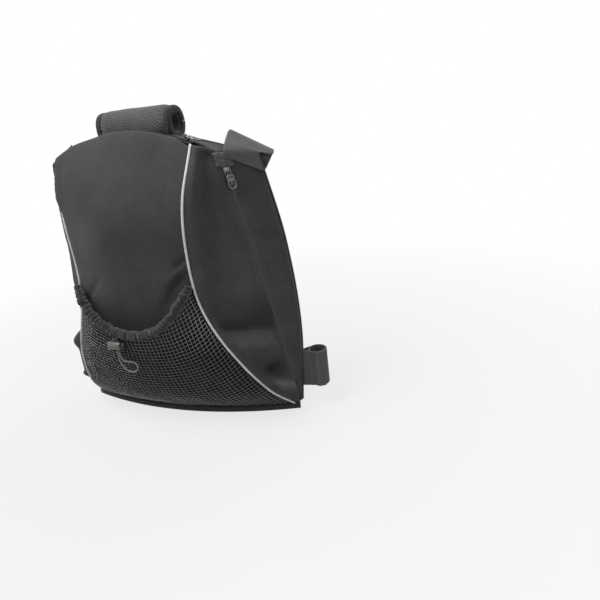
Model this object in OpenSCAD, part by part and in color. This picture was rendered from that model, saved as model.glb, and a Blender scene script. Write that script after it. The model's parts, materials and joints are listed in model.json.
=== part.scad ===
/* [Shell] */
// Height of the rear panel along its piped edges
bag_h = 460; // [400:5:520]
// Rise of the rear panel's top edge above its corners
crown = 24; // [14:1:36]
// Height of the front seam
front_h = 428; // [390:2:450]
// Width across the front seam at the bottom
front_w_bottom = 414; // [390:2:430]
// Width across the front seam a third of the way up
front_w_low = 438; // [420:2:450]
// Width across the front seam two thirds of the way up
front_w_high = 422; // [410:2:436]
// Width across the front seam at the shoulders
front_w_top = 378; // [360:2:390]
// Width between the pipings at the bottom
rear_w_bottom = 408; // [390:2:420]
// Width between the pipings a quarter of the way up
rear_w_low = 310; // [290:2:330]
// Width between the pipings at the mesh pocket's hem
rear_w_mid = 208; // [190:2:240]
// Width between the pipings at the top
rear_w_top = 226; // [210:2:240]
// Depth from the front corners to the piping at the bottom edge
depth_bottom = 7; // [6:1:10]
// Depth to the piping where the bottom curve starts
depth_low = 68; // [60:1:76]
// Depth to the piping a third of the way up
depth_mid = 112; // [100:1:124]
// Depth to the piping two thirds of the way up
depth_high = 118; // [106:1:128]
// Depth to the piping below the shoulders
depth_shoulder = 112; // [104:1:120]
// Depth to the piping at the top
depth_top = 73; // [66:1:80]
// How far the front panel bows in towards the rear at its middle
bow = 39; // [30:1:45]
// Thickness of the padded shell panels
panel_t = 3; // [2:0.5:3.5]
// Thickness of the padded front panel
front_t = 4; // [3:0.5:5]
// Thickness of the back foam
foam_t = 6; // [4:0.5:8]
// Thickness of the stiff frame sheet
sheet_t = 2; // [1:0.5:3]
// Height of the bottom strip
strip_h = 11; // [8:1:13]
// Width of the bottom strip
strip_w = 15; // [12:1:16]
// Diameter of the piping
piping_d = 6; // [4:0.5:7]

/* [Tube fittings] */
// Diameter of the tube that the bag hangs on, with its clearance
tube_d = 26; // [24:0.5:28]
// Height of the tube's axis above the bottom edge
hang_h = 491; // [485:1:500]
// Distance of the tube's axis in front of the front panel
tube_off = 21; // [20.5:0.5:23]
// Outer diameter of the padded carry sleeve
sleeve_d = 54; // [46:1:54]
// Length of the padded carry sleeve
sleeve_l = 130; // [100:5:150]
// Wall of the wraps
wrap_t = 3; // [2:0.5:3]
// Length of a shoulder wrap
shoulder_wrap_l = 72; // [50:2:84]
// Length of a lower wrap
lower_wrap_l = 64; // [50:2:80]
// Distance of a lower wrap's axis outside the front seam
lower_wrap_out = 29; // [26:1:34]
// Height of a lower wrap's middle above the bottom edge
lower_wrap_z = 71; // [60:1:90]

/* [Zips] */
// Width of a zip's tape pair
tape_w = 13; // [11:0.5:14]
// Thickness of the zip tape
tape_t = 1.6; // [1.2:0.1:2]
// Width of the zip's toothed bead
bead_w = 6; // [5:0.5:7]
// Height of the zip's toothed bead above the tape
bead_h = 1.4; // [1:0.1:1.8]
// Length of a side zip's slider
slider_l = 16; // [13:0.5:18]
// Length of a pull tab
pull_l = 24; // [20:1:46]

/* [Mesh pocket] */
// Rows of gaps in the net
net_rows = 12; // [8:1:12]
// Gaps in a row of the net
net_cols = 22; // [16:1:24]
// Width of a net strand
strand_w = 2.4; // [1.6:0.2:3]
// Thickness of the net
net_t = 2; // [1.4:0.2:2.4]
// How far the net stands off the rear panel
net_off = 13; // [10:1:13]
// Diameter of the gathered hem
hem_d = 10; // [8:0.5:10]
// How far the hem's middle stands off the rear panel
hem_off = 22; // [20:1:26]

/* [Cord lock] */
// Diameter of the drawcord
cord_d = 2.6; // [2:0.1:2.8]
// Diameter of the cord lock's barrel
lock_d = 14; // [13:0.5:16]
// Length of the cord lock's barrel
lock_l = 22; // [21:0.5:26]
// Diameter of the plunger
plunger_d = 8; // [7.6:0.2:9]
// Travel of the plunger
plunger_travel = 4; // [3:0.5:4]

/* [Shoulder straps] */
// Width of a padded strap
strap_w = 60; // [50:2:70]
// Thickness of a padded strap
strap_t = 10; // [8:0.5:12]
// Width of the strap webbing
webbing_w = 25; // [20:1:30]
// Thickness of the strap webbing
webbing_t = 2; // [1.5:0.5:2.5]

/* [Hidden] */
$fn = 48;

// Clearance between pieces that don't move, and beside those that do
gap = 0.4;
// Half width at which the front panel's bow is measured
bow_half = 210;
base_z = -hang_h;
corner_y = bow - tube_off;
charcoal = [0.2, 0.2, 0.21];
black = [0.06, 0.06, 0.07];
pale_grey = [0.78, 0.78, 0.8];
slate = [0.28, 0.28, 0.31];
gunmetal = [0.35, 0.35, 0.37];

// Smooth curves through a few stations along the height, 0 at the bottom and 1 at the top
function station(ts, t, i = 0) = (i >= len(ts) - 2 || t < ts[i + 1]) ? i : station(ts, t, i + 1);
function tangent(ts, vs, i) =
    let (a = max(i - 1, 0), b = min(i + 1, len(ts) - 1)) (vs[b] - vs[a]) / (ts[b] - ts[a]);
function curve(ts, vs, t) =
    let (
        i = station(ts, t),
        step = ts[i + 1] - ts[i],
        u = (t - ts[i]) / step,
        a = tangent(ts, vs, i) * step,
        b = tangent(ts, vs, i + 1) * step,
        rise = vs[i + 1] - vs[i]
    ) vs[i] + u * a + u * u * (3 * rise - 2 * a - b) + u * u * u * (a + b - 2 * rise);
function mix(a, b, u) = a + (b - a) * u;
function unit(v) = v / norm(v);
function steps(a, b, n) = [for (i = [0:n]) mix(a, b, i / n)];

// Half widths and depth of the shell
function rear_half(t) =
    curve([0, 0.25, 0.55, 1], [rear_w_bottom, rear_w_low, rear_w_mid, rear_w_top] / 2, t);
function front_half(t) =
    curve([0, 0.35, 0.7, 1], [front_w_bottom, front_w_low, front_w_high, front_w_top] / 2, t);
function depth(t) =
    curve([0, 0.14, 0.36, 0.64, 0.84, 1],
        [depth_bottom, depth_low, depth_mid, depth_high, depth_shoulder, depth_top], t);
bulge_bottom = bow - 2;
bulge_low = bow - 17;
bulge_mid = 13;
bulge_top = 2;
function rear_bulge(t) = curve([0, 0.14, 0.3, 1], [bulge_bottom, bulge_low, bulge_mid, bulge_top], t);
function front_y(x) = bow * pow(x / bow_half, 2) - tube_off;

// Seam lines on the right side, and the rear panel between them
function rear_seam(t) = [rear_half(t), corner_y - depth(t), base_z + bag_h * t];
function front_seam(t) = [front_half(t), front_y(front_half(t)), base_z + front_h * t];
function rear_face(k, t) = [
    rear_half(t) * k,
    corner_y - depth(t) - rear_bulge(t) * (1 - k * k),
    base_z + (bag_h + crown * (1 - k * k)) * t
];

// Width of a slider's wings
wing_w = 11;

// The side zip is straight, from the shoulder almost to the bottom
zip_t_top = 0.955;
zip_t_low = 0.13;
zip_proud = 3;
// Where the zip's two ends lie across the gusset, 0 at the piping and 1 at the front seam
zip_share_top = 0.46;
zip_share_low = 0.74;
zip_share_bottom = 0.5;
function gusset_out(t) = unit(cross(front_seam(t) - rear_seam(t), [0, 0, 1]));
function gusset_point(t, u) = mix(rear_seam(t), front_seam(t), u) + zip_proud * gusset_out(t);
zip_top = gusset_point(zip_t_top, zip_share_top);
zip_low = gusset_point(zip_t_low, zip_share_low);
function zip_line(t) = t >= zip_t_low
    ? mix(zip_top, zip_low, (zip_t_top - t) / (zip_t_top - zip_t_low))
    : mix(mix(rear_seam(0), front_seam(0), zip_share_bottom), zip_low, t / zip_t_low);
zip_along = unit(zip_low - zip_top);
zip_mid_out = gusset_out((zip_t_top + zip_t_low) / 2);
zip_out = unit(zip_mid_out - zip_along * (zip_mid_out * zip_along));
zip_across = cross(zip_along, zip_out);
zip_len = norm(zip_low - zip_top);

// How far the panels stop short of the piping, the other seams and the zip
seam_room = 1.5;
pipe_trim = piping_d / 2 + seam_room;
seam_trim = 2.4;
wedge_trim = 17;
zip_trim_full = tape_w / 2 + seam_room;
zip_tail = 8;
strip_room = 2;
t_low = (strip_h + strip_room) / bag_h;
t_high = 1 - (1.25 * panel_t + 2 * gap) / bag_h;
zip_end_t = zip_t_low - (zip_tail + 2 * seam_room) / zip_len * (zip_t_top - zip_t_low);
zip_shut_t = mix(t_low, zip_end_t, 2 / 3);
gusset_rows = concat(steps(t_low, zip_shut_t, 2), steps(zip_end_t, t_high, 13));
function zip_trim(t) =
    let (u = (t - zip_shut_t) / (zip_end_t - zip_shut_t)) mix(gap / 2, zip_trim_full, min(1, max(0, u)));

// How far a gusset swells outwards between its seams
puff = 4;
function swell(a, b, w, t) = mix(a, b, w) + puff * 4 * w * (1 - w) * gusset_out(t);
function rear_gusset_point(v, t) =
    let (a = rear_seam(t), b = zip_line(t), l = norm(b - a))
    swell(a, b, mix(pipe_trim / l, 1 - zip_trim(t) / l, v), t);
function front_gusset_point(v, t) =
    let (a = zip_line(t), b = front_seam(t), l = norm(b - a))
    swell(a, b, mix(zip_trim(t) / l, 1, v), t);

// Top: an arc of zip tape along the rear panel, then the top panel to the front seam
arc_r = (pow(rear_w_top / 2, 2) + crown * crown) / (2 * crown);
arc_top_z = base_z + bag_h + crown;
arc_y = rear_seam(1)[1] + panel_t + wing_w / 2 + gap;
top_rear_y = arc_y + tape_w / 2 + gap;
top_bend = 0.45;
sleeve_clear = sleeve_d / 2 + gap;
top_front_drop = sqrt(pow(sleeve_clear, 2) - pow(tube_off + seam_trim, 2));
function shoulder(v) = v < top_bend
    ? mix(rear_seam(1), zip_line(1), v / top_bend)
    : mix(zip_line(1), front_seam(1), (v - top_bend) / (1 - top_bend));
top_v = top_bend * (top_rear_y - rear_seam(1)[1]) / (zip_line(1)[1] - rear_seam(1)[1]);
function top_face(k, v) =
    let (
        s = shoulder(v),
        w = (v - top_v) / (1 - top_v),
        y = mix(top_rear_y, -tube_off - seam_trim, w),
        z = mix(arc_top_z - tape_t, -top_front_drop, w)
    ) [(s[0] - gap) * k, mix(y, s[1], k * k), mix(z, s[2], k * k)];

// Front panel: a bowed sheet under the top panel's front edge
function front_edge_z(x) = mix(-top_front_drop, front_seam(1)[2], pow(2 * x / front_w_top, 2))
    - panel_t - 2 * seam_trim;
function front_face(x, z) = [x, front_y(x), z];
function front_panel_half(t) = front_half(t) - wedge_trim;
front_low_z = base_z + strip_h + gap;

// Grids of points as closed sheets between two heights over the grid
function grid_normal(g, i, j) =
    let (
        di = g[min(i + 1, len(g) - 1)][j] - g[max(i - 1, 0)][j],
        dj = g[i][min(j + 1, len(g[0]) - 1)] - g[i][max(j - 1, 0)]
    ) unit(cross(di, dj));
function lift(g, h) =
    [for (i = [0:len(g) - 1]) for (j = [0:len(g[0]) - 1]) g[i][j] + h * grid_normal(g, i, j)];
function wall(a, b, n) = [[a, b, b + n], [a, b + n, a + n]];

module sheet(g, low, high) {
    r = len(g);
    c = len(g[0]);
    n = r * c;
    top = [for (i = [0:r - 2]) for (j = [0:c - 2]) let (a = i * c + j)
        each [[a, a + 1, a + c], [a + 1, a + c + 1, a + c]]];
    bottom = [for (f = top) [f[0] + n, f[2] + n, f[1] + n]];
    sides = [
        for (j = [0:c - 2]) each wall(j + 1, j, n),
        for (j = [0:c - 2]) each wall((r - 1) * c + j, (r - 1) * c + j + 1, n),
        for (i = [0:r - 2]) each wall(i * c, (i + 1) * c, n),
        for (i = [0:r - 2]) each wall((i + 1) * c + c - 1, i * c + c - 1, n)
    ];
    polyhedron(concat(lift(g, high), lift(g, low)), concat(top, bottom, sides), convexity = 6);
}

// Round tube along a path of points, closed at both ends
function path_dir(p, i) = unit(p[min(i + 1, len(p) - 1)] - p[max(i - 1, 0)]);
module tube_along(p, r, sides, up) {
    n = len(p);
    points = [for (i = [0:n - 1])
        let (d = path_dir(p, i), a = unit(cross(up, d)), b = cross(d, a))
        for (s = [0:sides - 1]) p[i] + r * (cos(360 * s / sides) * a + sin(360 * s / sides) * b)];
    skin = [for (i = [0:n - 2]) for (s = [0:sides - 1])
        let (a = i * sides + s, b = i * sides + (s + 1) % sides)
        each [[a, a + sides, b], [b, a + sides, b + sides]]];
    caps = [for (s = [1:sides - 2]) each
        [[0, s, s + 1], [(n - 1) * sides, (n - 1) * sides + s + 1, (n - 1) * sides + s]]];
    polyhedron(points, concat(skin, caps), convexity = 6);
}

// Places children so that x, y and z run along three unit vectors from a point
module placed(p, x, y, z) {
    multmatrix([for (i = [0:2]) [x[i], y[i], z[i], p[i]]]) children();
}
module left() { mirror([1, 0, 0]) children(); }

// Shell panels
module rear_panel() {
    high = 1 - (tape_t + 2 * gap) / bag_h;
    color(charcoal) sheet([for (f = steps(-1, 1, 12)) [for (t = steps(t_low, high, 16))
        rear_face(f * (1 - pipe_trim / rear_half(t)), t)]], -panel_t, 0);
}
module top_panel() {
    color(charcoal) sheet([for (k = steps(-1, 1, 14)) [for (v = steps(top_v, 1, 4)) top_face(k, v)]],
        -panel_t, 0);
}
module right_rear_gusset() {
    color(charcoal) sheet([for (v = steps(0, 1, 4)) [for (t = gusset_rows)
        rear_gusset_point(v, t)]], -panel_t, 0);
}
module left_rear_gusset() { left() right_rear_gusset(); }
module right_front_gusset() {
    color(charcoal) sheet([for (v = steps(0, 1, 3)) [for (t = gusset_rows)
        front_gusset_point(v, t)]], -panel_t, 0);
}
module left_front_gusset() { left() right_front_gusset(); }
module front_panel() {
    color(black) sheet([for (k = steps(1, -1, 12)) [for (t = steps(0, 1, 10))
        let (x = k * front_panel_half(t)) front_face(x, mix(front_low_z, front_edge_z(x), t))]],
        -front_t, 0);
}
module front_layer(half, low, high, deep, thick) {
    sheet([for (x = steps(half, -half, 8)) [for (z = steps(low, high, 3)) front_face(x, z)]],
        -deep - thick, -deep);
}
// Foam and sheet end inside the front panel's edges
layer_inset = 12;
layer_rise = 60;
layer_drop = 8;
layer_half = front_panel_half(1) - layer_inset;
layer_low = base_z + layer_rise;
layer_high = front_edge_z(layer_half) - layer_drop;
module back_foam() { color(slate) front_layer(layer_half, layer_low, layer_high, front_t + gap, foam_t); }
module frame_sheet() {
    color(gunmetal) front_layer(layer_half, layer_low, layer_high, front_t + foam_t + 2 * gap, sheet_t);
}
module bottom_strip() {
    half = front_w_bottom / 2 - piping_d / 2;
    color(black) sheet([for (x = steps(half, -half, 12)) [for (z = [base_z, base_z + strip_h])
        front_face(x, z)]], -strip_w, 0);
}
module right_piping() {
    color(pale_grey) tube_along([for (t = steps(t_low, 1, 26)) rear_seam(t)], piping_d / 2, 8, [1, 0, 0]);
}
module left_piping() { left() right_piping(); }

// Zips: two tapes with toothed beads, a slider that runs in the slot between them, and a pull
slot_half = 0.8;
wing_t = 2.2;
under_wing_t = 1.6;
lug_out = 3.4;
lug_in = 2.2;
lug_reach = 2.6;
pin_r = 0.9;
eye_r = pin_r + 0.35;
knuckle_r = eye_r + 1;
lug_cap = 0.9;
pin_z = bead_h + gap + wing_t + knuckle_r + gap;
pull_w = 9;
pull_t = 1.6;
ring_r = pull_w / 2;
slider_rest = slider_l / 2 + 4;
garage_l = 14;
garage_w = tape_w + 1;
garage_t = 2.5;
module tape_profile() {
    for (side = [-1, 1]) scale([side, 1]) {
        translate([slot_half, -tape_t]) square([tape_w / 2 - slot_half, tape_t]);
        translate([slot_half, -tape_t]) square([bead_w / 2 - slot_half, tape_t + bead_h]);
    }
}
module zip_slider() {
    wing_z = bead_h + gap;
    translate([-wing_w / 2, -slider_l / 2, wing_z]) cube([wing_w, slider_l, wing_t]);
    translate([-wing_w / 2, -slider_l / 2, -tape_t - gap - under_wing_t])
        cube([wing_w, slider_l, under_wing_t]);
    translate([gap - slot_half, -slider_l / 4, -tape_t - gap - under_wing_t / 2])
        cube([2 * (slot_half - gap), slider_l / 2, wing_z + tape_t + gap + under_wing_t]);
    for (side = [-1, 1])
        translate([side > 0 ? lug_in : -lug_out, -lug_reach, wing_z + wing_t / 2])
            cube([lug_out - lug_in, 2 * lug_reach, pin_z - wing_z - wing_t / 2 + pin_r + lug_cap]);
    translate([-lug_out, 0, pin_z]) rotate([0, 90, 0]) cylinder(r = pin_r, h = 2 * lug_out);
}
module zip_pull() {
    neck_w = 2 * (lug_in - gap);
    neck_l = 5;
    translate([0, 0, pin_z]) {
        difference() {
            union() {
                translate([-neck_w / 2, 0, 0]) rotate([0, 90, 0]) cylinder(r = knuckle_r, h = neck_w);
                translate([-neck_w / 2, 0, -pull_t / 2]) cube([neck_w, neck_l + 1, pull_t]);
            }
            translate([-neck_w, 0, 0]) rotate([0, 90, 0]) cylinder(r = eye_r, h = 2 * neck_w);
        }
        translate([-pull_w / 3, neck_l, -pull_t / 2])
            cube([2 * pull_w / 3, pull_l - neck_l - ring_r, pull_t]);
        translate([0, pull_l - ring_r, -pull_t / 2]) difference() {
            cylinder(r = ring_r, h = pull_t);
            translate([0, 0, -1]) cylinder(r = ring_r / 2, h = pull_t + 2);
        }
    }
}
module on_side_zip(y) { placed(zip_top + y * zip_along, zip_across, zip_along, zip_out) children(); }
module right_zip_tapes() {
    color(black) placed(zip_top - garage_l * zip_along, -zip_across, zip_out, zip_along)
        linear_extrude(zip_len + garage_l + zip_tail) tape_profile();
}
module left_zip_tapes() { left() right_zip_tapes(); }
module right_zip_slider() { color(gunmetal) on_side_zip(slider_rest) zip_slider(); }
module left_zip_slider() { left() right_zip_slider(); }
module right_zip_pull() { color(gunmetal) on_side_zip(slider_rest) zip_pull(); }
module left_zip_pull() { left() right_zip_pull(); }
module right_zip_garage() {
    color(slate) on_side_zip(-garage_l)
        translate([-garage_w / 2, 0, bead_h + gap]) cube([garage_w, garage_l, garage_t]);
}
module left_zip_garage() { left() right_zip_garage(); }

// Top zip on an arc about a centre far below, with its slider at the right end
arc_c = [0, arc_y, arc_top_z - arc_r];
arc_half = asin((rear_w_top / 2 - piping_d / 2 - gap) / arc_r);
top_slider_at = arc_half - slider_rest / arc_r * 180 / PI;
module top_zip_tapes() {
    color(black) translate(arc_c) rotate([90, arc_half - 90, 0])
        rotate_extrude(angle = 2 * arc_half, $fn = 180) rotate(-90) translate([0, arc_r]) tape_profile();
}
module on_top_zip() {
    translate(arc_c) rotate([0, top_slider_at, 0]) translate([0, 0, arc_r]) rotate(-90) children();
}
module top_zip_slider() { color(gunmetal) on_top_zip() zip_slider(); }
// The top pull lies along the zip, or along the shoulder where that is the flatter of the two
shoulder_run = zip_line(1) - rear_seam(1);
shoulder_slope = atan2(-shoulder_run[2], shoulder_run[0]);
pull_lift = max(0, top_slider_at - shoulder_slope + asin(3 * gap / pull_l));
module top_zip_pull() {
    color(gunmetal) on_top_zip() translate([0, 0, pin_z]) rotate([pull_lift, 0, 0])
        translate([0, 0, -pin_z]) zip_pull();
}

// Mesh pocket: a net over the lower rear panel, a gathered hem, a drawcord and its lock
hem_dip = 0.39;
hem_side = 0.575;
net_half = 0.97;
net_h = hem_dip * bag_h;
// How soon the net reaches its full stand-off above the bottom, and a small step for slopes
net_rise = 2.2;
tiny = 0.01;
function hem_t(k) = mix(hem_dip, hem_side, k * k);
function off_rear(k, t, off) =
    let (
        p = rear_face(k, t),
        dk = rear_face(k + tiny, t) - rear_face(k - tiny, t),
        dt = rear_face(k, t + tiny) - rear_face(k, t - tiny)
    ) p + off * unit(cross(dk, dt));
function hem_point(k) = off_rear(k, hem_t(k), mix(hem_off, hem_d / 2 + 2 * gap, pow(k, 4)));
function net_point(k, s) =
    let (
        low = t_low + tiny,
        high = hem_t(k) - (hem_d / 2 + 1) / bag_h,
        t = mix(low, high, s),
        edge = pipe_trim / rear_half(t),
        kk = k * (1 - edge)
    ) off_rear(kk, t, 2 * gap + net_off * (1 - pow(k, 4)) * sin(90 * min(1, net_rise * s)));
function net_lines(n, w, span) = [for (i = [0:n]) each
    let (c = span * i / n) [max(0, c - w / 2), min(span, c + w / 2)]];
module mesh_pocket() {
    ks = net_lines(net_cols, strand_w, rear_w_low);
    ss = net_lines(net_rows, strand_w, net_h);
    g = [for (a = ks) [for (b = ss) net_point(net_half * (2 * a / rear_w_low - 1), b / net_h)]];
    r = len(g);
    c = len(g[0]);
    n = r * c;
    function hole(i, j) = i < 0 || j < 0 || i > r - 2 || j > c - 2 || (i % 2 == 1 && j % 2 == 1);
    cells = [for (i = [0:r - 2]) for (j = [0:c - 2]) if (!hole(i, j)) [i, j]];
    faces = [for (q = cells) let (i = q[0], j = q[1], a = i * c + j) each concat(
        [[a, a + 1, a + c], [a + 1, a + c + 1, a + c]],
        [[a + n, a + c + n, a + 1 + n], [a + 1 + n, a + c + n, a + c + 1 + n]],
        hole(i - 1, j) ? wall(a + 1, a, n) : [],
        hole(i + 1, j) ? wall(a + c, a + c + 1, n) : [],
        hole(i, j - 1) ? wall(a, a + c, n) : [],
        hole(i, j + 1) ? wall(a + c + 1, a + 1, n) : [])];
    color(black) polyhedron(concat(lift(g, net_t), lift(g, 0)), faces, convexity = 10);
}
module pocket_hem() {
    path = [for (k = steps(-net_half, net_half, 30)) hem_point(k)];
    color(black) tube_along(path, hem_d / 2, 8, [0, 1, 0]);
}
lock_k = -0.27;
lock_drop = 19;
strand_x = cord_d / 2 + gap;
eyelet_r = strand_x + cord_d / 2 + gap;
eyelet_wall = 1.6;
hem_run = hem_point(lock_k + tiny) - hem_point(lock_k - tiny);
hem_tilt = atan(abs(hem_run[2] / hem_run[0]));
hem_bottom = hem_point(lock_k)
    - [0, 0, hem_d / 2 / cos(hem_tilt) + (eyelet_r + eyelet_wall) * tan(hem_tilt) + gap];
lock_c = hem_bottom - [0, 0, lock_drop - hem_d / 2];
eyelet_h = 2.4;
// Points of the drawcord, across and up from the lock's middle: down the left strand, round, up the right
strand_top = lock_drop - hem_d / 2;
drawcord_route = [
    for (z = [strand_top, 8, 0, -10, -20]) [-strand_x, z],
    [-1, -28], [2, -36], [8, -43], [17, -46], [26, -44], [30, -37], [28, -31], [21, -28.5],
    [14, -28.5], [8, -27], [3.5, -23.5],
    for (z = [-18, -10, 0, 8, strand_top]) [strand_x, z]
];
module hem_eyelet() {
    color(gunmetal) translate(hem_bottom - [0, 0, eyelet_h]) difference() {
        cylinder(r = eyelet_r + eyelet_wall, h = eyelet_h);
        translate([0, 0, -1]) cylinder(r = eyelet_r, h = eyelet_h + 2);
    }
}
module drawcord() {
    path = [for (p = drawcord_route) lock_c + [p[0], 0, p[1]]];
    color(black) tube_along(path, cord_d / 2, 8, [0, 1, 0]);
}
// The cord hole is open through barrel and plunger at both ends of the plunger's travel
cord_room = 0.5;
hole_x = strand_x + cord_d / 2 + cord_room;
hole_y = cord_d / 2 + cord_room;
barrel_right = hole_x + 5;
barrel_floor = 2;
bore_end = barrel_right - lock_l + barrel_floor;
plunger_end = -hole_x - 2;
module cord_lock_barrel() {
    color(slate) translate(lock_c) difference() {
        translate([barrel_right, 0, 0]) rotate([0, -90, 0]) cylinder(d = lock_d, h = lock_l);
        translate([barrel_right + 1, 0, 0]) rotate([0, -90, 0])
            cylinder(d = plunger_d, h = barrel_right + 1 - bore_end);
        translate([-hole_x, -hole_y, -lock_d]) cube([2 * hole_x, 2 * hole_y, 2 * lock_d]);
    }
}
module cord_lock_plunger() {
    head = 2;
    color(black) translate(lock_c) difference() {
        union() {
            translate([plunger_end, 0, 0]) rotate([0, 90, 0])
                cylinder(d = plunger_d - gap, h = barrel_right + plunger_travel + head - plunger_end);
            translate([barrel_right + plunger_travel + gap, 0, 0]) rotate([0, 90, 0])
                cylinder(d = lock_d - 2, h = head);
        }
        translate([-hole_x, -hole_y, -lock_d])
            cube([2 * hole_x + plunger_travel, 2 * hole_y, 2 * lock_d]);
    }
}

// Spring between the barrel's floor and the plunger: one wire in open turns
spring_wire = 0.6;
spring_turns = 4;
spring_sides = 6;
spring_rings = 8;
spring_r = plunger_d / 2 - gap - spring_wire;
spring_from = bore_end + gap + spring_wire / 2;
spring_to = plunger_end - gap - spring_wire / 2;
spring_path = [for (i = [0:spring_turns * spring_rings]) let (a = 360 * i / spring_rings)
    [mix(spring_from, spring_to, i / spring_turns / spring_rings), spring_r * cos(a), spring_r * sin(a)]];
spring_gap = min([for (i = [0:len(spring_path) - 1]) for (j = [i + spring_rings / 2:len(spring_path) - 1])
    norm(spring_path[i] - spring_path[j])]) - spring_wire;
echo(spring_gap = spring_gap);
module cord_lock_spring() {
    color(gunmetal) translate(lock_c) tube_along(spring_path, spring_wire / 2, spring_sides, [1, 0, 0]);
}

// Tube fittings: half rings that the tube lies in, each closed by a hinged half ring
tube_r = tube_d / 2;
module half_ring(inner, outer, l) {
    translate([0, 0, -l / 2]) difference() {
        cylinder(r = outer, h = l);
        translate([0, 0, -1]) cylinder(r = inner, h = l + 2);
        translate([-2 * outer, gap / 2 - 4 * outer, -1]) cube([4 * outer, 4 * outer, l + 2]);
    }
}
module on_tube_centre() { placed([0, 0, 0], [0, -1, 0], [0, 0, -1], [1, 0, 0]) children(); }
module carry_sleeve() { color(slate) on_tube_centre() half_ring(tube_r, sleeve_d / 2, sleeve_l); }
module carry_sleeve_flap() {
    color(slate) on_tube_centre() rotate(180) half_ring(tube_r, sleeve_d / 2, sleeve_l);
}

tube_sag = 0.00186;
wrap_r = tube_r + wrap_t;
shoulder_x = 167;
// Where a shoulder tab lies on the top panel: across it, along the shoulder and over it
tab_k = 0.94;
tab_v = 0.74;
tab_reach = 0.12;
tab_t = 3;
function tab_seat(v) = top_face(tab_k, v) + [0, 0, tab_t / 2 + 3 * gap];
// Direction from the front seam to a lower wrap
lower_out = unit([23, 10, 0]);
function tube_point(x) = [x, bow * pow(x / bow_half, 2), -tube_sag * x * x];
function across_from(v, axis) = unit(v - axis * (v * axis));
shoulder_c = tube_point(shoulder_x);
shoulder_axis = unit(tube_point(shoulder_x + 1) - tube_point(shoulder_x - 1));
shoulder_in = across_from(tab_seat(tab_v) - shoulder_c, shoulder_axis);
lower_t = lower_wrap_z / front_h;
lower_c = front_seam(lower_t) + lower_wrap_out * lower_out;
lower_in = across_from(front_seam(lower_t) - lower_c, [0, 0, 1]);
module on_wrap(c, axis, inward) { placed(c, cross(inward, axis), inward, axis) children(); }
module right_shoulder_wrap() {
    color(slate) on_wrap(shoulder_c, shoulder_axis, shoulder_in) half_ring(tube_r, wrap_r, shoulder_wrap_l);
}
module left_shoulder_wrap() { left() right_shoulder_wrap(); }
module right_shoulder_flap() {
    color(slate) on_wrap(shoulder_c, shoulder_axis, shoulder_in) rotate(180)
        half_ring(tube_r, wrap_r, shoulder_wrap_l);
}
module left_shoulder_flap() { left() right_shoulder_flap(); }
module right_lower_wrap() {
    color(slate) on_wrap(lower_c, [0, 0, 1], lower_in) half_ring(tube_r, wrap_r, lower_wrap_l);
}
module left_lower_wrap() { left() right_lower_wrap(); }
module right_lower_flap() {
    color(slate) on_wrap(lower_c, [0, 0, 1], lower_in) rotate(180) half_ring(tube_r, wrap_r, lower_wrap_l);
}
module left_lower_flap() { left() right_lower_flap(); }

// Tabs that sew the wraps to the shell
function from_ring(c, axis, q) = let (d = across_from(q - c, axis), p = c + axis * ((q - c) * axis))
    p + d * (wrap_r + gap);
module right_shoulder_tab() {
    color(slate) sheet([for (v = [tab_v - tab_reach, tab_v, tab_v + tab_reach]) let (q = tab_seat(v))
        [from_ring(shoulder_c, shoulder_axis, q), q]], -tab_t / 2, tab_t / 2);
}
module left_shoulder_tab() { left() right_shoulder_tab(); }
module right_lower_tab() {
    h = lower_wrap_l / front_h / 2;
    color(slate) sheet([for (t = steps(lower_t - h, lower_t + h, 2))
        let (q = front_seam(t)) [q + gap * lower_out, from_ring(lower_c, [0, 0, 1], q)]],
        -tab_t / 2, tab_t / 2);
}
module left_lower_tab() { left() right_lower_tab(); }

// Shoulder straps, lying flat on the front panel
yoke_half = 105;
yoke_z = -78;
yoke_h = 30;
yoke_t = 3;
strap_rise = 150;
webbing_rise = 30;
strap_top = [70, yoke_z - gap];
strap_end = [95, base_z + strap_rise];
webbing_end = [150, base_z + webbing_rise];
lock_h = 24;
lock_t = 4;
lock_bar = 4;
webbing_top = strap_end - [0, lock_h / 2];
anchor_w = 36;
anchor_h = 26;
anchor_t = 2;
module strap_sheet(from, to, w, low, high, n) {
    color(black) sheet([for (s = steps(w / 2, -w / 2, 4)) [for (u = steps(0, 1, n))
        let (p = mix(from, to, u)) front_face(p[0] + s, p[1])]], low, high);
}
module strap_yoke() {
    color(black) sheet([for (x = steps(yoke_half, -yoke_half, 8)) [for (z = [yoke_z, yoke_z + yoke_h])
        front_face(x, z)]], gap, gap + yoke_t);
}
module right_shoulder_strap() { strap_sheet(strap_end, strap_top, strap_w, gap, gap + strap_t, 6); }
module left_shoulder_strap() { left() right_shoulder_strap(); }
module right_strap_webbing() { strap_sheet(webbing_end, webbing_top, webbing_w, gap, gap + webbing_t, 4); }
module left_strap_webbing() { left() right_strap_webbing(); }
strap_slope = atan(2 * bow * strap_end[0] / pow(bow_half, 2));
lock_low = 2 * gap + webbing_t + gap / 2;
lock_gap = 3 * gap;
module right_ladder_lock() {
    w = webbing_w + 2 * lock_bar;
    slot = (lock_h - 3 * lock_bar) / 2;
    color(black) translate(front_face(strap_end[0], strap_end[1] - lock_gap - lock_h)) rotate(strap_slope)
        translate([-w / 2, lock_low, 0]) difference() {
            cube([w, lock_t, lock_h]);
            for (z = [lock_bar, 2 * lock_bar + slot])
                translate([lock_bar, -1, z]) cube([webbing_w, lock_t + 2, slot]);
        }
}
module left_ladder_lock() { left() right_ladder_lock(); }
module strap_anchors() {
    low = 2 * gap + webbing_t;
    for (side = [0, 1]) mirror([side, 0, 0])
        strap_sheet(webbing_end, webbing_end + [0, anchor_h], anchor_w, low, low + anchor_t, 2);
}

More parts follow.
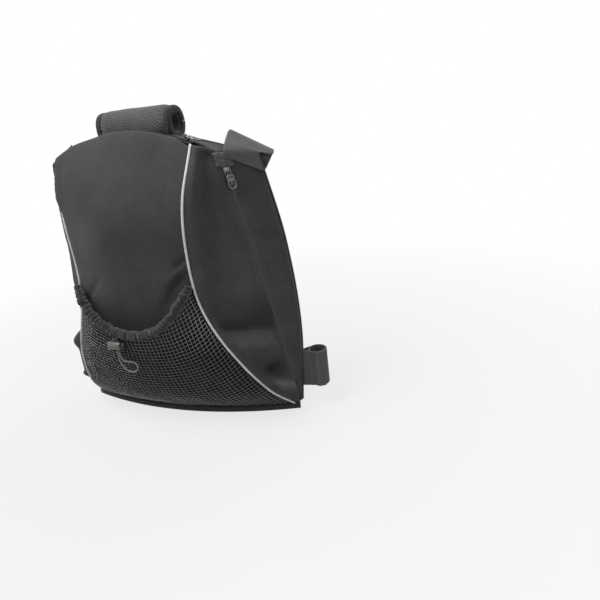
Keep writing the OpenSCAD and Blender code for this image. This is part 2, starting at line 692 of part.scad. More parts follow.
rear_panel();
top_panel();
right_rear_gusset();
left_rear_gusset();
right_front_gusset();
left_front_gusset();
front_panel();
back_foam();
frame_sheet();
bottom_strip();
right_piping();
left_piping();
right_zip_tapes();
left_zip_tapes();
top_zip_tapes();
right_zip_slider();
left_zip_slider();
top_zip_slider();
right_zip_pull();
left_zip_pull();
top_zip_pull();
right_zip_garage();
left_zip_garage();
mesh_pocket();
pocket_hem();
hem_eyelet();
drawcord();
cord_lock_barrel();
cord_lock_plunger();
cord_lock_spring();
carry_sleeve();
carry_sleeve_flap();
right_shoulder_wrap();
left_shoulder_wrap();
right_shoulder_flap();
left_shoulder_flap();
right_lower_wrap();
left_lower_wrap();
right_lower_flap();
left_lower_flap();
right_shoulder_tab();
left_shoulder_tab();
right_lower_tab();
left_lower_tab();
strap_yoke();
right_shoulder_strap();
left_shoulder_strap();
right_strap_webbing();
left_strap_webbing();
right_ladder_lock();
left_ladder_lock();
strap_anchors();
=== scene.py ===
import json
import math

import bmesh
import bpy
import numpy as np
from mathutils import Matrix, Vector


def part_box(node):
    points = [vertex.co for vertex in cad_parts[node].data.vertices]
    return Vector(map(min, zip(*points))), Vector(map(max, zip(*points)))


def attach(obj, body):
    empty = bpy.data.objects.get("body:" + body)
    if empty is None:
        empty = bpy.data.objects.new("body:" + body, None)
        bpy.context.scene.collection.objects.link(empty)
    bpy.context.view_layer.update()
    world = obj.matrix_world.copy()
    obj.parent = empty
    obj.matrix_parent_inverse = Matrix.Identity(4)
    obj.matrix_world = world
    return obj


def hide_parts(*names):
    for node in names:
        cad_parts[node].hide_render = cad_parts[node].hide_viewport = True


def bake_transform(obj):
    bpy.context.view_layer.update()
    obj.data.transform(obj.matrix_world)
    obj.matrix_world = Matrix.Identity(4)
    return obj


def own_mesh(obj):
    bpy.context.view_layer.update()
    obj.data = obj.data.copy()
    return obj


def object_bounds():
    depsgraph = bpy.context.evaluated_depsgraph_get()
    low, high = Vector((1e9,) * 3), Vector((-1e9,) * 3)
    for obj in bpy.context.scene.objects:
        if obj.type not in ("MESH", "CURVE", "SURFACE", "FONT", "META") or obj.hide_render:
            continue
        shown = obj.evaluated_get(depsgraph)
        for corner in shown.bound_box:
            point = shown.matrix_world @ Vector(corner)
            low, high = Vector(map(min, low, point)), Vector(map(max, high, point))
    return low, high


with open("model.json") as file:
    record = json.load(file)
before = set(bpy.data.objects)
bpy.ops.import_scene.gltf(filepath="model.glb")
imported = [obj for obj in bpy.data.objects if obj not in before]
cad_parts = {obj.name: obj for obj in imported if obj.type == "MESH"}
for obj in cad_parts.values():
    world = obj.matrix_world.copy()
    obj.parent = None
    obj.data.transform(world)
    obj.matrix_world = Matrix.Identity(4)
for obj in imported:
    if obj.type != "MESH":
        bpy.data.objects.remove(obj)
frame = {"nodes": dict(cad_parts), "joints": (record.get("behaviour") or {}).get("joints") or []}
CAD_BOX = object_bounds()
JOINTS = {j["name"]: j for j in frame["joints"]}

# Shell sizes in metres, as in the solids: stations run from 0 at the bottom to 1 at the top
BAG_H = 0.460
CROWN = 0.024
FRONT_H = 0.428
BOW = 0.039
BOW_HALF = 0.210
TUBE_OFF = 0.021
CORNER_Y = BOW - TUBE_OFF
BASE_Z = -0.491
REAR_STATIONS = (0, 0.25, 0.55, 1)
REAR_HALVES = (0.204, 0.155, 0.104, 0.113)
FRONT_STATIONS = (0, 0.35, 0.7, 1)
FRONT_HALVES = (0.207, 0.219, 0.211, 0.189)
DEPTH_STATIONS = (0, 0.14, 0.36, 0.64, 0.84, 1)
DEPTHS = (0.007, 0.068, 0.112, 0.118, 0.112, 0.073)
BULGE_STATIONS = (0, 0.14, 0.3, 1)
BULGES = (BOW - 0.002, BOW - 0.017, 0.013, 0.002)
PANEL_T = 0.003
STRIP_H = 0.011
STRIP_W = 0.015
PIPING_R = 0.003
PUFF = 0.004
T_LOW = (STRIP_H + 0.001) / BAG_H

# Zips
ZIP_T_TOP = 0.955
ZIP_T_LOW = 0.13
ZIP_SHARE_TOP = 0.46
ZIP_SHARE_LOW = 0.74
ZIP_PROUD = 0.003
ZIP_TAIL = 0.008
TAPE_W = 0.013
TAPE_T = 0.0016
GARAGE_L = 0.014
TOOTH_PITCH = 0.0026

# Mesh pocket, drawcord and cord lock
HEM_DIP = 0.39
HEM_SIDE = 0.575
HEM_R = 0.005
HEM_OFF = 0.022
NET_HALF = 0.97
NET_OFF = 0.013
NET_RISE = 2.2
NET_LOW = T_LOW + 0.012
CORD_R = 0.0013

# Tube fittings
TUBE_R = 0.013
SLEEVE_R = 0.027
SLEEVE_L = 0.130
WRAP_R = 0.016


def lerp(a, b, u):
    return a + (b - a) * u


def unit(v):
    return v / np.linalg.norm(v, axis=-1, keepdims=True)


def xyz(x, y, z):
    return np.stack(np.broadcast_arrays(x, y, z), axis=-1).astype(float)


def curve(stations, values, t):
    """Smooth curve through a few stations."""
    s, v = np.asarray(stations, float), np.asarray(values, float)
    slope = np.gradient(v, s)
    slope[1:-1] = (v[2:] - v[:-2]) / (s[2:] - s[:-2])
    i = np.clip(np.searchsorted(s, t, side="right") - 1, 0, len(s) - 2)
    step = s[i + 1] - s[i]
    u = (t - s[i]) / step
    a, b, rise = slope[i] * step, slope[i + 1] * step, v[i + 1] - v[i]
    return v[i] + u * a + u * u * (3 * rise - 2 * a - b) + u**3 * (a + b - 2 * rise)


def ripples(u, v, length, seed):
    """Smooth random field, about -1 to 1, with waves about length long."""
    rng = np.random.default_rng(seed)
    total = 0.0
    for _ in range(8):
        turn, phase = rng.uniform(0, 2 * math.pi, 2)
        rate = 2 * math.pi / length * rng.uniform(0.6, 1.5)
        total = total + np.sin(rate * (u * math.cos(turn) + v * math.sin(turn)) + phase)
    return total / 4


def waves(u, v, *layers):
    """Layers of ripples, each with its height, its length and its seed."""
    return sum(height * ripples(u, v, length, seed) for height, length, seed in layers)


def bump(x, centre, width):
    """Bell of height 1 at centre."""
    return np.exp(-(((x - centre) / width) ** 2))


def hump(x, height, centre, width):
    return height * bump(x, centre, width)


def smooth(low, high, x):
    """Step from 0 at low to 1 at high, with soft ends."""
    u = np.clip((x - low) / (high - low), 0, 1)
    return u * u * (3 - 2 * u)


def squared(wave, power):
    """A sine or cosine bent so that its ring has the form of a rounded rectangle."""
    return np.sign(wave) * np.abs(wave) ** power


# Seams and faces of the shell, right side
def rear_half(t):
    return curve(REAR_STATIONS, REAR_HALVES, t)


def front_half(t):
    return curve(FRONT_STATIONS, FRONT_HALVES, t)


def depth(t):
    return curve(DEPTH_STATIONS, DEPTHS, t)


def front_y(x):
    return BOW * (x / BOW_HALF) ** 2 - TUBE_OFF


def rear_seam(t):
    return xyz(rear_half(t), CORNER_Y - depth(t), BASE_Z + BAG_H * t)


def front_seam(t):
    return xyz(front_half(t), front_y(front_half(t)), BASE_Z + FRONT_H * t)


def rear_face(k, t):
    swell = 1 - k * k
    y = CORNER_Y - depth(t) - curve(BULGE_STATIONS, BULGES, t) * swell
    return xyz(rear_half(t) * k, y, BASE_Z + (BAG_H + CROWN * swell) * t)


def off_rear(k, t, off):
    step = 0.01
    across = rear_face(k + step, t) - rear_face(k - step, t)
    up = rear_face(k, t + step) - rear_face(k, t - step)
    return rear_face(k, t) + np.asarray(off)[..., None] * unit(np.cross(across, up))


def gusset_out(t):
    return unit(np.cross(front_seam(t) - rear_seam(t), (0, 0, 1)))


def gusset_point(t, share):
    t = np.asarray(float(t))
    return lerp(rear_seam(t), front_seam(t), share) + ZIP_PROUD * gusset_out(t)


zip_top = gusset_point(ZIP_T_TOP, ZIP_SHARE_TOP)
zip_low = gusset_point(ZIP_T_LOW, ZIP_SHARE_LOW)
zip_len = float(np.linalg.norm(zip_low - zip_top))
zip_along = (zip_low - zip_top) / zip_len
zip_mid_out = gusset_out(np.asarray((ZIP_T_TOP + ZIP_T_LOW) / 2))
zip_out = unit(zip_mid_out - zip_along * (zip_mid_out @ zip_along))
zip_across = np.cross(zip_along, zip_out)


def zip_line(t):
    t = np.asarray(t, float)[..., None]
    upper = lerp(zip_top, zip_low, (ZIP_T_TOP - t) / (ZIP_T_TOP - ZIP_T_LOW))
    foot = (rear_seam(np.asarray(0.0)) + front_seam(np.asarray(0.0))) / 2
    lower = lerp(foot, zip_low, t / ZIP_T_LOW)
    return np.where(t >= ZIP_T_LOW, upper, lower)


def hem_t(k):
    return lerp(HEM_DIP, HEM_SIDE, k * k)


def hem_point(k):
    return off_rear(k, hem_t(k), lerp(HEM_OFF, HEM_R + 0.0008, k**4))


def net_top(k):
    return hem_t(k) - (HEM_R + 0.001) / BAG_H


def net_point(k, s):
    t = lerp(NET_LOW, net_top(k), s)
    inside = k * (1 - (PIPING_R + 0.001) / rear_half(t))
    stand = NET_OFF * (1 - k**4) * np.sin(math.pi / 2 * np.minimum(1, NET_RISE * s))
    return off_rear(inside, t, 0.0014 + stand)


# Meshes
def link(obj):
    bpy.context.scene.collection.objects.link(obj)
    return obj


def carry(mesh, name, values):
    """Gives every point of a mesh a value that its material reads."""
    values = np.asarray(values, np.float32).ravel()
    mesh.attributes.new(name, "FLOAT", "POINT").data.foreach_set("value", values)


def mesh_object(name, points, faces, uv=None, seam=None):
    mesh = bpy.data.meshes.new(name)
    mesh.from_pydata(np.asarray(points).tolist(), [], [list(map(int, f)) for f in faces])
    mesh.update()
    if uv is not None:
        corner = np.empty(len(mesh.loops), int)
        mesh.loops.foreach_get("vertex_index", corner)
        layer = mesh.uv_layers.new(name="cloth")
        layer.data.foreach_set("uv", np.asarray(uv, np.float32)[corner].ravel())
    if seam is not None:
        carry(mesh, "seam", seam)
    mesh.shade_smooth()
    return link(bpy.data.objects.new(name, mesh))


def grid_normals(grid):
    return unit(np.cross(np.gradient(grid, axis=0), np.gradient(grid, axis=1)))


def grid_faces(m, n):
    i, j = np.meshgrid(np.arange(m - 1), np.arange(n - 1), indexing="ij")
    a = (i * n + j).ravel()
    return np.stack([a, a + n, a + n + 1, a + 1], axis=1)


def grid_lengths(grid):
    """Arc lengths across and along a grid, from its middle, in metres."""
    across = np.linalg.norm(np.diff(grid, axis=0), axis=-1).cumsum(axis=0)
    along = np.linalg.norm(np.diff(grid, axis=1), axis=-1).cumsum(axis=1)
    u = np.concatenate([np.zeros((1, grid.shape[1])), across])
    v = np.concatenate([np.zeros((grid.shape[0], 1)), along], axis=1)
    return u - u[grid.shape[0] // 2], v


def border_of(m, n):
    """Border of a grid in order, and for each point its neighbour inside."""
    loop = [(i, 0) for i in range(m - 1)] + [(m - 1, j) for j in range(n - 1)]
    loop += [(i, n - 1) for i in range(m - 1, 0, -1)] + [(0, j) for j in range(n - 1, 0, -1)]
    inside = [(min(max(i, 1), m - 2), min(max(j, 1), n - 2)) for i, j in loop]
    flat = [i * n + j for i, j in loop]
    return np.array(flat), np.array([i * n + j for i, j in inside])


SEAM_FADE = 0.005


def cloth_sheet(name, grid, thick):
    """Closed sheet under a grid of outer points, with a rounded rim and a map in metres."""
    m, n = grid.shape[:2]
    outer = grid.reshape(-1, 3)
    inner = (grid - thick * grid_normals(grid)).reshape(-1, 3)
    edge, inside = border_of(m, n)
    middle = (outer[edge] + inner[edge]) / 2 + 0.5 * thick * unit(outer[edge] - outer[inside])
    u, v = grid_lengths(grid)
    uv = np.stack([u, v], axis=-1).reshape(-1, 2)
    total, turn = m * n, np.roll(np.arange(len(edge)), -1)
    rim = 2 * total + np.arange(len(edge))
    faces = grid_faces(m, n)
    upper = np.stack([edge, rim, rim[turn], edge[turn]], axis=1)
    lower = np.stack([rim, edge + total, edge[turn] + total, rim[turn]], axis=1)
    height = v.max(axis=1, keepdims=True)
    to_edge = np.minimum(np.minimum(u - u.min(axis=0), u.max(axis=0) - u), np.minimum(v, height - v))
    seam = np.exp(-to_edge.ravel() / SEAM_FADE)
    return mesh_object(
        name,
        np.concatenate([outer, inner, middle]),
        np.concatenate([faces, faces[:, ::-1] + total, upper, lower]),
        np.concatenate([uv, uv, uv[edge]]),
        np.concatenate([seam, seam, seam[edge]]),
    )


def run_along(path):
    """Length along a path, at each of its points."""
    return np.concatenate([[0], np.linalg.norm(np.diff(path, axis=0), axis=-1).cumsum()])


def full_turn(sides):
    return np.linspace(0, 2 * math.pi, sides, endpoint=False)


def loft(name, rings):
    """Closed skin through rings of points, with a map of length by girth in metres."""
    rings = np.asarray(rings, float)
    n, s = rings.shape[:2]
    looped = np.concatenate([rings, rings[:, :1]], axis=1)
    girth = np.linalg.norm(np.diff(looped, axis=1), axis=-1).cumsum(axis=1)
    girth = np.concatenate([np.zeros((n, 1)), girth[:, :-1]], axis=1)
    run = np.broadcast_to(run_along(rings.mean(axis=1))[:, None], (n, s))
    a = np.arange((n - 1) * s).reshape(n - 1, s)
    b = np.roll(a, -1, axis=1)
    faces = np.stack([a, b, b + s, a + s], axis=-1).reshape(-1, 4).tolist()
    faces += [list(range(s))[::-1], list(range((n - 1) * s, n * s))]
    uv = np.stack([run, girth], axis=-1).reshape(-1, 2)
    obj = mesh_object(name, rings.reshape(-1, 3), faces, uv, np.zeros(n * s))
    face_out(obj)
    return obj


def face_out(obj):
    mesh = bmesh.new()
    mesh.from_mesh(obj.data)
    bmesh.ops.recalc_face_normals(mesh, faces=mesh.faces)
    mesh.to_mesh(obj.data)
    mesh.free()


def path_frames(path, up):
    """Unit tangents of a path, and two directions square to each."""
    path = np.asarray(path, float)
    along = unit(np.gradient(path, axis=0))
    side = unit(np.cross(np.broadcast_to(up, along.shape), along))
    return along, side, np.cross(along, side)


def tube_rings(path, radius, sides, up):
    """Rings round a path: radius is a number, or one for each ring and side."""
    path = np.asarray(path, float)
    _, a, b = path_frames(path, up)
    turn = full_turn(sides)
    radius = np.broadcast_to(radius, (len(path), sides))[..., None]
    return path[:, None] + radius * (
        np.cos(turn)[None, :, None] * a[:, None] + np.sin(turn)[None, :, None] * b[:, None]
    )


SIDES = {"right": 1, "left": -1}


def mirror(side):
    """What takes a point of the right side to a side, as factors."""
    return np.array((SIDES[side], 1, 1))


def on_side(grid, side):
    """A grid of the right side, or its left-hand twin with its outer face still outside."""
    return grid if side == "right" else grid[::-1] * mirror(side)


def facing(grid, i, j, out):
    """A grid, turned over if its face at i, j looks away from out."""
    return grid[::-1] if grid_normals(grid)[i, j] @ out < 0 else grid


# Edges sharper than these, in radians, are rounded, or stay sharp when shaded
ROUNDED_ANGLE = 0.5
SHARP_ANGLE = 0.9


def soften(obj, width):
    """Rounds the hard edges of a piece."""
    bevel = obj.modifiers.new("rounding", "BEVEL")
    bevel.width = width
    bevel.segments = 2
    bevel.limit_method = "ANGLE"
    bevel.angle_limit = ROUNDED_ANGLE
    settle(obj)
    obj.data.set_sharp_from_angle(angle=SHARP_ANGLE)
    return obj


def settle(obj):
    """Turns what the modifiers make into a plain mesh."""
    bpy.context.view_layer.update()
    graph = bpy.context.evaluated_depsgraph_get()
    made = bpy.data.meshes.new_from_object(obj.evaluated_get(graph))
    made.name = obj.name
    obj.modifiers.clear()
    obj.data = made
    return obj


def join(name, objects):
    """One piece from several closed meshes."""
    mesh = bmesh.new()
    for o in objects:
        mesh.from_mesh(o.data)
    made = bpy.data.meshes.new(name)
    mesh.to_mesh(made)
    mesh.free()
    for o in objects:
        bpy.data.objects.remove(o)
    return link(bpy.data.objects.new(name, made))


def shade(obj, grid_values):
    """Darkens the cloth of a sheet at each point of its grid, or lightens it where a value is negative."""
    edge, _ = border_of(*grid_values.shape)
    flat = grid_values.ravel()
    carry(obj.data, "shade", np.concatenate([flat, flat, flat[edge]]))


def dress(obj, material, body="bag", replaces=()):
    """Gives a piece its finish, its body, if it rides on one alone, and hides the nodes that it stands for.
    """
    obj.data.materials.clear()
    obj.data.materials.append(material)
    if body:
        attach(obj, body)
    if replaces:
        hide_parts(*replaces)
    return obj


# Node trees
def new_tree(name, kind, inputs, outputs):
    """An empty tree with named sockets, and the nodes at its two ends."""
    tree = bpy.data.node_groups.new(name, kind)
    for way, sockets in (("INPUT", inputs), ("OUTPUT", outputs)):
        for label, socket in sockets.items():
            tree.interface.new_socket(label, in_out=way, socket_type="NodeSocket" + socket)
    return tree, tree.nodes.new("NodeGroupInput"), tree.nodes.new("NodeGroupOutput")


def feed(tree, socket, value):
    """Links an output to a socket, or writes a plain value into it."""
    if isinstance(value, bpy.types.NodeSocket):
        tree.links.new(value, socket)
    else:
        socket.default_value = value


def add_node(tree, kind, settings=(), **values):
    """Adds a node: settings are its own options, and values go into its named inputs."""
    node = tree.nodes.new(kind)
    for option, value in settings:
        setattr(node, option, value)
    for label, value in values.items():
        feed(tree, node.inputs[label.replace("_", " ")], value)
    return node


def math_node(tree, operation, *values):
    node = add_node(tree, "ShaderNodeMath", [("operation", operation)])
    for socket, value in zip(node.inputs, values):
        feed(tree, socket, value)
    return node.outputs[0]


# Shader groups
def make_weave():
    """Plain weave: threads that pass over and under each other."""
    tree, given, made = new_tree(
        "plain_weave", "ShaderNodeTree", {"Vector": "Vector", "Pitch": "Float"}, {"Height": "Float"}
    )
    rate = math_node(tree, "DIVIDE", 1.0, given.outputs["Pitch"])
    scaled = add_node(
        tree, "ShaderNodeVectorMath", [("operation", "SCALE")], Vector=given.outputs["Vector"], Scale=rate
    )
    parts = add_node(tree, "ShaderNodeSeparateXYZ", Vector=scaled.outputs[0])
    threads, cells = [], []
    for axis in "XY":
        wave = math_node(tree, "SINE", math_node(tree, "MULTIPLY", parts.outputs[axis], math.pi))
        threads.append(math_node(tree, "ABSOLUTE", wave))
        cells.append(math_node(tree, "FLOOR", parts.outputs[axis]))
    over = math_node(tree, "FLOORED_MODULO", math_node(tree, "ADD", *cells), 2.0)
    pick = add_node(tree, "ShaderNodeMix", Factor=over, A=threads[0], B=threads[1])
    feed(tree, made.inputs["Height"], pick.outputs[0])
    return tree


def make_mottle():
    """Uneven tone of used cloth: broad patches and fine grain."""
    tree, given, made = new_tree(
        "mottle", "ShaderNodeTree",
        {"Vector": "Vector", "Patch": "Float", "Grain": "Float", "Amount": "Float"}, {"Tone": "Float"},
    )
    layers = []
    for scale, share in (("Patch", 1.0), ("Grain", 0.7)):
        noise = add_node(
            tree, "ShaderNodeTexNoise",
            Vector=given.outputs["Vector"], Scale=given.outputs[scale], Detail=3.0,
        )
        around = math_node(tree, "SUBTRACT", noise.outputs[0], 0.5)
        layers.append(math_node(tree, "MULTIPLY", around, share))
    swing = math_node(tree, "MULTIPLY", math_node(tree, "ADD", *layers), given.outputs["Amount"])
    feed(tree, made.inputs["Tone"], math_node(tree, "ADD", swing, 1.0))
    return tree


def make_grain():
    """Fine pebbled skin of moulded plastic and cast metal."""
    tree, given, made = new_tree(
        "moulded_grain", "ShaderNodeTree",
        {"Vector": "Vector", "Scale": "Float"}, {"Height": "Float", "Tone": "Float"},
    )
    place = given.outputs["Vector"]
    fine = add_node(tree, "ShaderNodeTexNoise", Vector=place, Scale=given.outputs["Scale"], Detail=4.0)
    broad = add_node(tree, "ShaderNodeTexNoise", Vector=place, Scale=60.0)
    spread = math_node(tree, "MULTIPLY", math_node(tree, "SUBTRACT", broad.outputs[0], 0.5), 0.5)
    feed(tree, made.inputs["Height"], fine.outputs[0])
    feed(tree, made.inputs["Tone"], math_node(tree, "ADD", spread, 1.0))
    return tree


WEAVE = make_weave()
MOTTLE = make_mottle()
GRAIN = make_grain()


# Materials
PATCH_SCALE = 14.0
GRAIN_SCALE = 420.0
SEAM_DUST = 0.35
THREAD_TONE = 0.35
GAP_TONE = 0.78
SHEEN_ROUGH = 0.45


def placed(tree, group, **values):
    return add_node(tree, "ShaderNodeGroup", [("node_tree", group)], **values)


def carried(tree, name):
    """A value that the mesh of a piece carries at its points, 0 where it has none."""
    return add_node(tree, "ShaderNodeAttribute", [("attribute_name", name)]).outputs["Fac"]


def new_material(name, color, rough, specular):
    material = bpy.data.materials.new(name)
    material.use_nodes = True
    material.diffuse_color = (*color, 1)
    tree = material.node_tree
    shader = tree.nodes["Principled BSDF"]
    shader.inputs["Base Color"].default_value = (*color, 1)
    shader.inputs["Roughness"].default_value = rough
    shader.inputs["Specular IOR Level"].default_value = specular
    return material, tree, shader


def tint(tree, shader, color, tone):
    """Base colour times a tone that changes over the surface, less the shade that the piece carries."""
    kept = math_node(tree, "SUBTRACT", 1.0, carried(tree, "shade"))
    mix = add_node(
        tree, "ShaderNodeMix", [("data_type", "RGBA"), ("blend_type", "MULTIPLY")],
        Factor=1.0, A=(*color, 1), B=math_node(tree, "MULTIPLY", tone, kept),
    )
    feed(tree, shader.inputs["Base Color"], mix.outputs["Result"])


def bump_from(tree, shader, height, distance):
    relief = add_node(tree, "ShaderNodeBump", Strength=1.0, Distance=distance, Height=height)
    feed(tree, shader.inputs["Normal"], relief.outputs["Normal"])


def cloth(name, color, pitch, relief, rough=0.85, sheen=0.25, amount=0.3, specular=0.3):
    """Woven cloth: threads, uneven tone, and dust that gathers along the seams."""
    material, tree, shader = new_material(name, color, rough, specular)
    shader.inputs["Sheen Weight"].default_value = sheen
    shader.inputs["Sheen Roughness"].default_value = SHEEN_ROUGH
    coords = add_node(tree, "ShaderNodeTexCoord")
    uv = add_node(tree, "ShaderNodeUVMap", [("uv_map", "cloth")])
    height = placed(tree, WEAVE, Vector=uv.outputs["UV"], Pitch=pitch).outputs["Height"]
    uneven = placed(
        tree, MOTTLE, Vector=coords.outputs["Object"], Patch=PATCH_SCALE, Grain=GRAIN_SCALE, Amount=amount
    ).outputs["Tone"]
    dusty = math_node(tree, "MULTIPLY", carried(tree, "seam"), SEAM_DUST)
    lit = math_node(tree, "MULTIPLY_ADD", height, THREAD_TONE, GAP_TONE)
    tint(tree, shader, color, math_node(tree, "ADD", math_node(tree, "MULTIPLY", uneven, lit), dusty))
    grip = math_node(tree, "MULTIPLY", uneven, rough)
    feed(tree, shader.inputs["Roughness"], math_node(tree, "MINIMUM", grip, 1.0))
    bump_from(tree, shader, height, relief)
    return material


def moulded(name, color, rough, metallic=0.0, scale=900.0, relief=0.00004, specular=0.5):
    """Moulded plastic or plated metal, with a fine grain."""
    material, tree, shader = new_material(name, color, rough, specular)
    shader.inputs["Metallic"].default_value = metallic
    coords = add_node(tree, "ShaderNodeTexCoord")
    skin = placed(tree, GRAIN, Vector=coords.outputs["Object"], Scale=scale)
    tint(tree, shader, color, skin.outputs["Tone"])
    feed(tree, shader.inputs["Roughness"], math_node(tree, "MULTIPLY", skin.outputs["Tone"], rough))
    bump_from(tree, shader, skin.outputs["Height"], relief)
    return material


SHELL = cloth("shell_cloth", (0.056, 0.056, 0.057), 0.0011, 0.00022, amount=1.5, sheen=0.08, specular=0.12)
BACK = cloth("back_mesh", (0.030, 0.030, 0.033), 0.0026, 0.0006, sheen=0.3)
SLEEVE = cloth("sleeve_mesh", (0.068, 0.068, 0.069), 0.0030, 0.0010, amount=2.0)
WRAP = cloth("wrap_cloth", (0.057, 0.057, 0.059), 0.0007, 0.00006, rough=0.7, sheen=0.15)
TAPE = cloth("zip_tape_cloth", (0.018, 0.018, 0.020), 0.0008, 0.00015)
WEBBING = cloth("webbing_weave", (0.022, 0.022, 0.024), 0.0016, 0.0004, rough=0.75)
HEM = cloth("hem_elastic", (0.0120, 0.0120, 0.0120), 0.0012, 0.0005, rough=0.95, sheen=0.3, amount=1.2)
GARAGE = cloth("garage_felt", (0.086, 0.086, 0.086), 0.0016, 0.0009, rough=0.95, sheen=0.3, amount=1.6)
CORD = cloth("cord_braid", (0.17, 0.17, 0.165), 0.0008, 0.0003, rough=0.6, sheen=0.2)
THREAD = cloth("stitch_thread", (0.060, 0.060, 0.062), 0.0004, 0.0001, rough=0.7)
NET = moulded("net_nylon", (0.21, 0.21, 0.21), 0.26, scale=2500.0, specular=0.9)
PIPING = moulded("piping_cover", (0.56, 0.555, 0.545), 0.5, scale=1600.0, relief=0.00008)
METAL = moulded("black_nickel", (0.085, 0.085, 0.087), 0.22, metallic=0.9, scale=400.0, relief=0.00002)
TEETH = moulded("zip_teeth_nylon", (0.02, 0.02, 0.021), 0.4)
LOCK = moulded("lock_plastic", (0.098, 0.103, 0.09), 0.36)
PULL = moulded("pull_rubber", (0.012, 0.012, 0.013), 0.34)
RIM = moulded("pull_rim", (0.13, 0.13, 0.132), 0.30, metallic=0.9, scale=400.0, relief=0.00002)
BUTTON = moulded("button_plastic", (0.035, 0.035, 0.036), 0.4)
BUCKLE = moulded("buckle_plastic", (0.022, 0.022, 0.023), 0.32)
FOAM = moulded("foam_cells", (0.12, 0.12, 0.125), 0.95, scale=1500.0, relief=0.0003)
PLATE = moulded("frame_plate", (0.08, 0.08, 0.083), 0.5)


# Geometry node trees
def growing_tree(name, inputs):
    """A tree that turns the edges of a mesh into a finished piece."""
    inputs = {"Geometry": "Geometry", **inputs, "Material": "Material"}
    return new_tree(name, "GeometryNodeTree", inputs, {"Geometry": "Geometry"})


def finish_tree(tree, given, made, geometry):
    real = add_node(tree, "GeometryNodeRealizeInstances", Geometry=geometry)
    coated = add_node(
        tree, "GeometryNodeSetMaterial", Geometry=real.outputs[0], Material=given.outputs["Material"]
    )
    feed(tree, made.inputs[0], coated.outputs[0])
    return tree


def spaced_along(tree, given):
    """Points at an even pitch along lines of edges, and the heading of the line at each."""
    line = add_node(tree, "GeometryNodeMeshToCurve", Mesh=given.outputs["Geometry"])
    spaced = add_node(
        tree, "GeometryNodeResampleCurve", [("mode", "LENGTH")],
        Curve=line.outputs[0], Length=given.outputs["Pitch"],
    )
    return spaced.outputs[0], add_node(tree, "GeometryNodeInputTangent").outputs[0]


def make_stitch_tree():
    """Stitches of one size, laid end to end along lines of edges."""
    tree, given, made = growing_tree("stitch_row", {"Pitch": "Float", "Stitch": "Vector"})
    points, heading = spaced_along(tree, given)
    turned = add_node(tree, "FunctionNodeAlignRotationToVector", [("axis", "X")], Vector=heading)
    bead = add_node(tree, "GeometryNodeMeshIcoSphere", Radius=0.5, Subdivisions=1)
    rows = add_node(
        tree, "GeometryNodeInstanceOnPoints", Points=points, Instance=bead.outputs[0],
        Rotation=turned.outputs[0], Scale=given.outputs["Stitch"],
    )
    return finish_tree(tree, given, made, rows.outputs[0])


def make_teeth_tree():
    """Zip teeth along a line, reaching in from either side by turns."""
    tree, given, made = growing_tree(
        "zip_teeth", {"Pitch": "Float", "Tooth": "Vector", "Stagger": "Float", "Arc centre": "Vector"}
    )
    points, heading = spaced_along(tree, given)
    along = add_node(tree, "FunctionNodeAlignRotationToVector", [("axis", "Y")], Vector=heading)
    place = add_node(tree, "GeometryNodeInputPosition")
    outward = add_node(tree, "ShaderNodeVectorMath", [("operation", "SUBTRACT")])
    feed(tree, outward.inputs[0], place.outputs[0])
    feed(tree, outward.inputs[1], given.outputs["Arc centre"])
    upright = add_node(
        tree, "FunctionNodeAlignRotationToVector", [("axis", "Z"), ("pivot_axis", "Y")],
        Rotation=along.outputs[0], Vector=outward.outputs[0],
    )
    tooth = add_node(tree, "GeometryNodeMeshCube", Size=(1.0, 1.0, 1.0))
    rows = add_node(
        tree, "GeometryNodeInstanceOnPoints", Points=points, Instance=tooth.outputs[0],
        Rotation=upright.outputs[0], Scale=given.outputs["Tooth"],
    )
    index = add_node(tree, "GeometryNodeInputIndex")
    odd = math_node(tree, "MODULO", index.outputs[0], 2.0)
    side = math_node(tree, "MULTIPLY_ADD", odd, 2.0, -1.0)
    reach = math_node(tree, "MULTIPLY", side, given.outputs["Stagger"])
    shift = add_node(tree, "ShaderNodeCombineXYZ", X=reach)
    moved = add_node(
        tree, "GeometryNodeTranslateInstances", Instances=rows.outputs[0], Translation=shift.outputs[0]
    )
    return finish_tree(tree, given, made, moved.outputs[0])


def make_net_tree():
    """Net: a strand along every edge, and a knot at every crossing."""
    tree, given, made = growing_tree("pocket_net", {"Strand radius": "Float", "Knot radius": "Float"})
    lines = add_node(tree, "GeometryNodeMeshToCurve", Mesh=given.outputs["Geometry"])
    ring = add_node(
        tree, "GeometryNodeCurvePrimitiveCircle", Resolution=5, Radius=given.outputs["Strand radius"]
    )
    strands = add_node(
        tree, "GeometryNodeCurveToMesh", Curve=lines.outputs[0], Profile_Curve=ring.outputs[0]
    )
    bead = add_node(
        tree, "GeometryNodeMeshIcoSphere", Radius=given.outputs["Knot radius"], Subdivisions=1
    )
    knots = add_node(
        tree, "GeometryNodeInstanceOnPoints", Points=given.outputs["Geometry"], Instance=bead.outputs[0]
    )
    both = add_node(tree, "GeometryNodeJoinGeometry")
    tree.links.new(strands.outputs[0], both.inputs[0])
    tree.links.new(knots.outputs[0], both.inputs[0])
    rounded = add_node(tree, "GeometryNodeSetShadeSmooth", Geometry=both.outputs[0])
    return finish_tree(tree, given, made, rounded.outputs[0])


STITCH_TREE = make_stitch_tree()
TEETH_TREE = make_teeth_tree()
NET_TREE = make_net_tree()


def grown(obj, tree, material, **values):
    """Runs a tree on a piece and keeps the plain mesh that it makes."""
    modifier = obj.modifiers.new(tree.name, "NODES")
    modifier.node_group = tree
    values["Material"] = material
    for item in tree.interface.items_tree:
        label = item.name.replace(" ", "_")
        if item.item_type == "SOCKET" and item.in_out == "INPUT" and label in values:
            modifier[item.identifier] = values[label]
    return settle(obj)


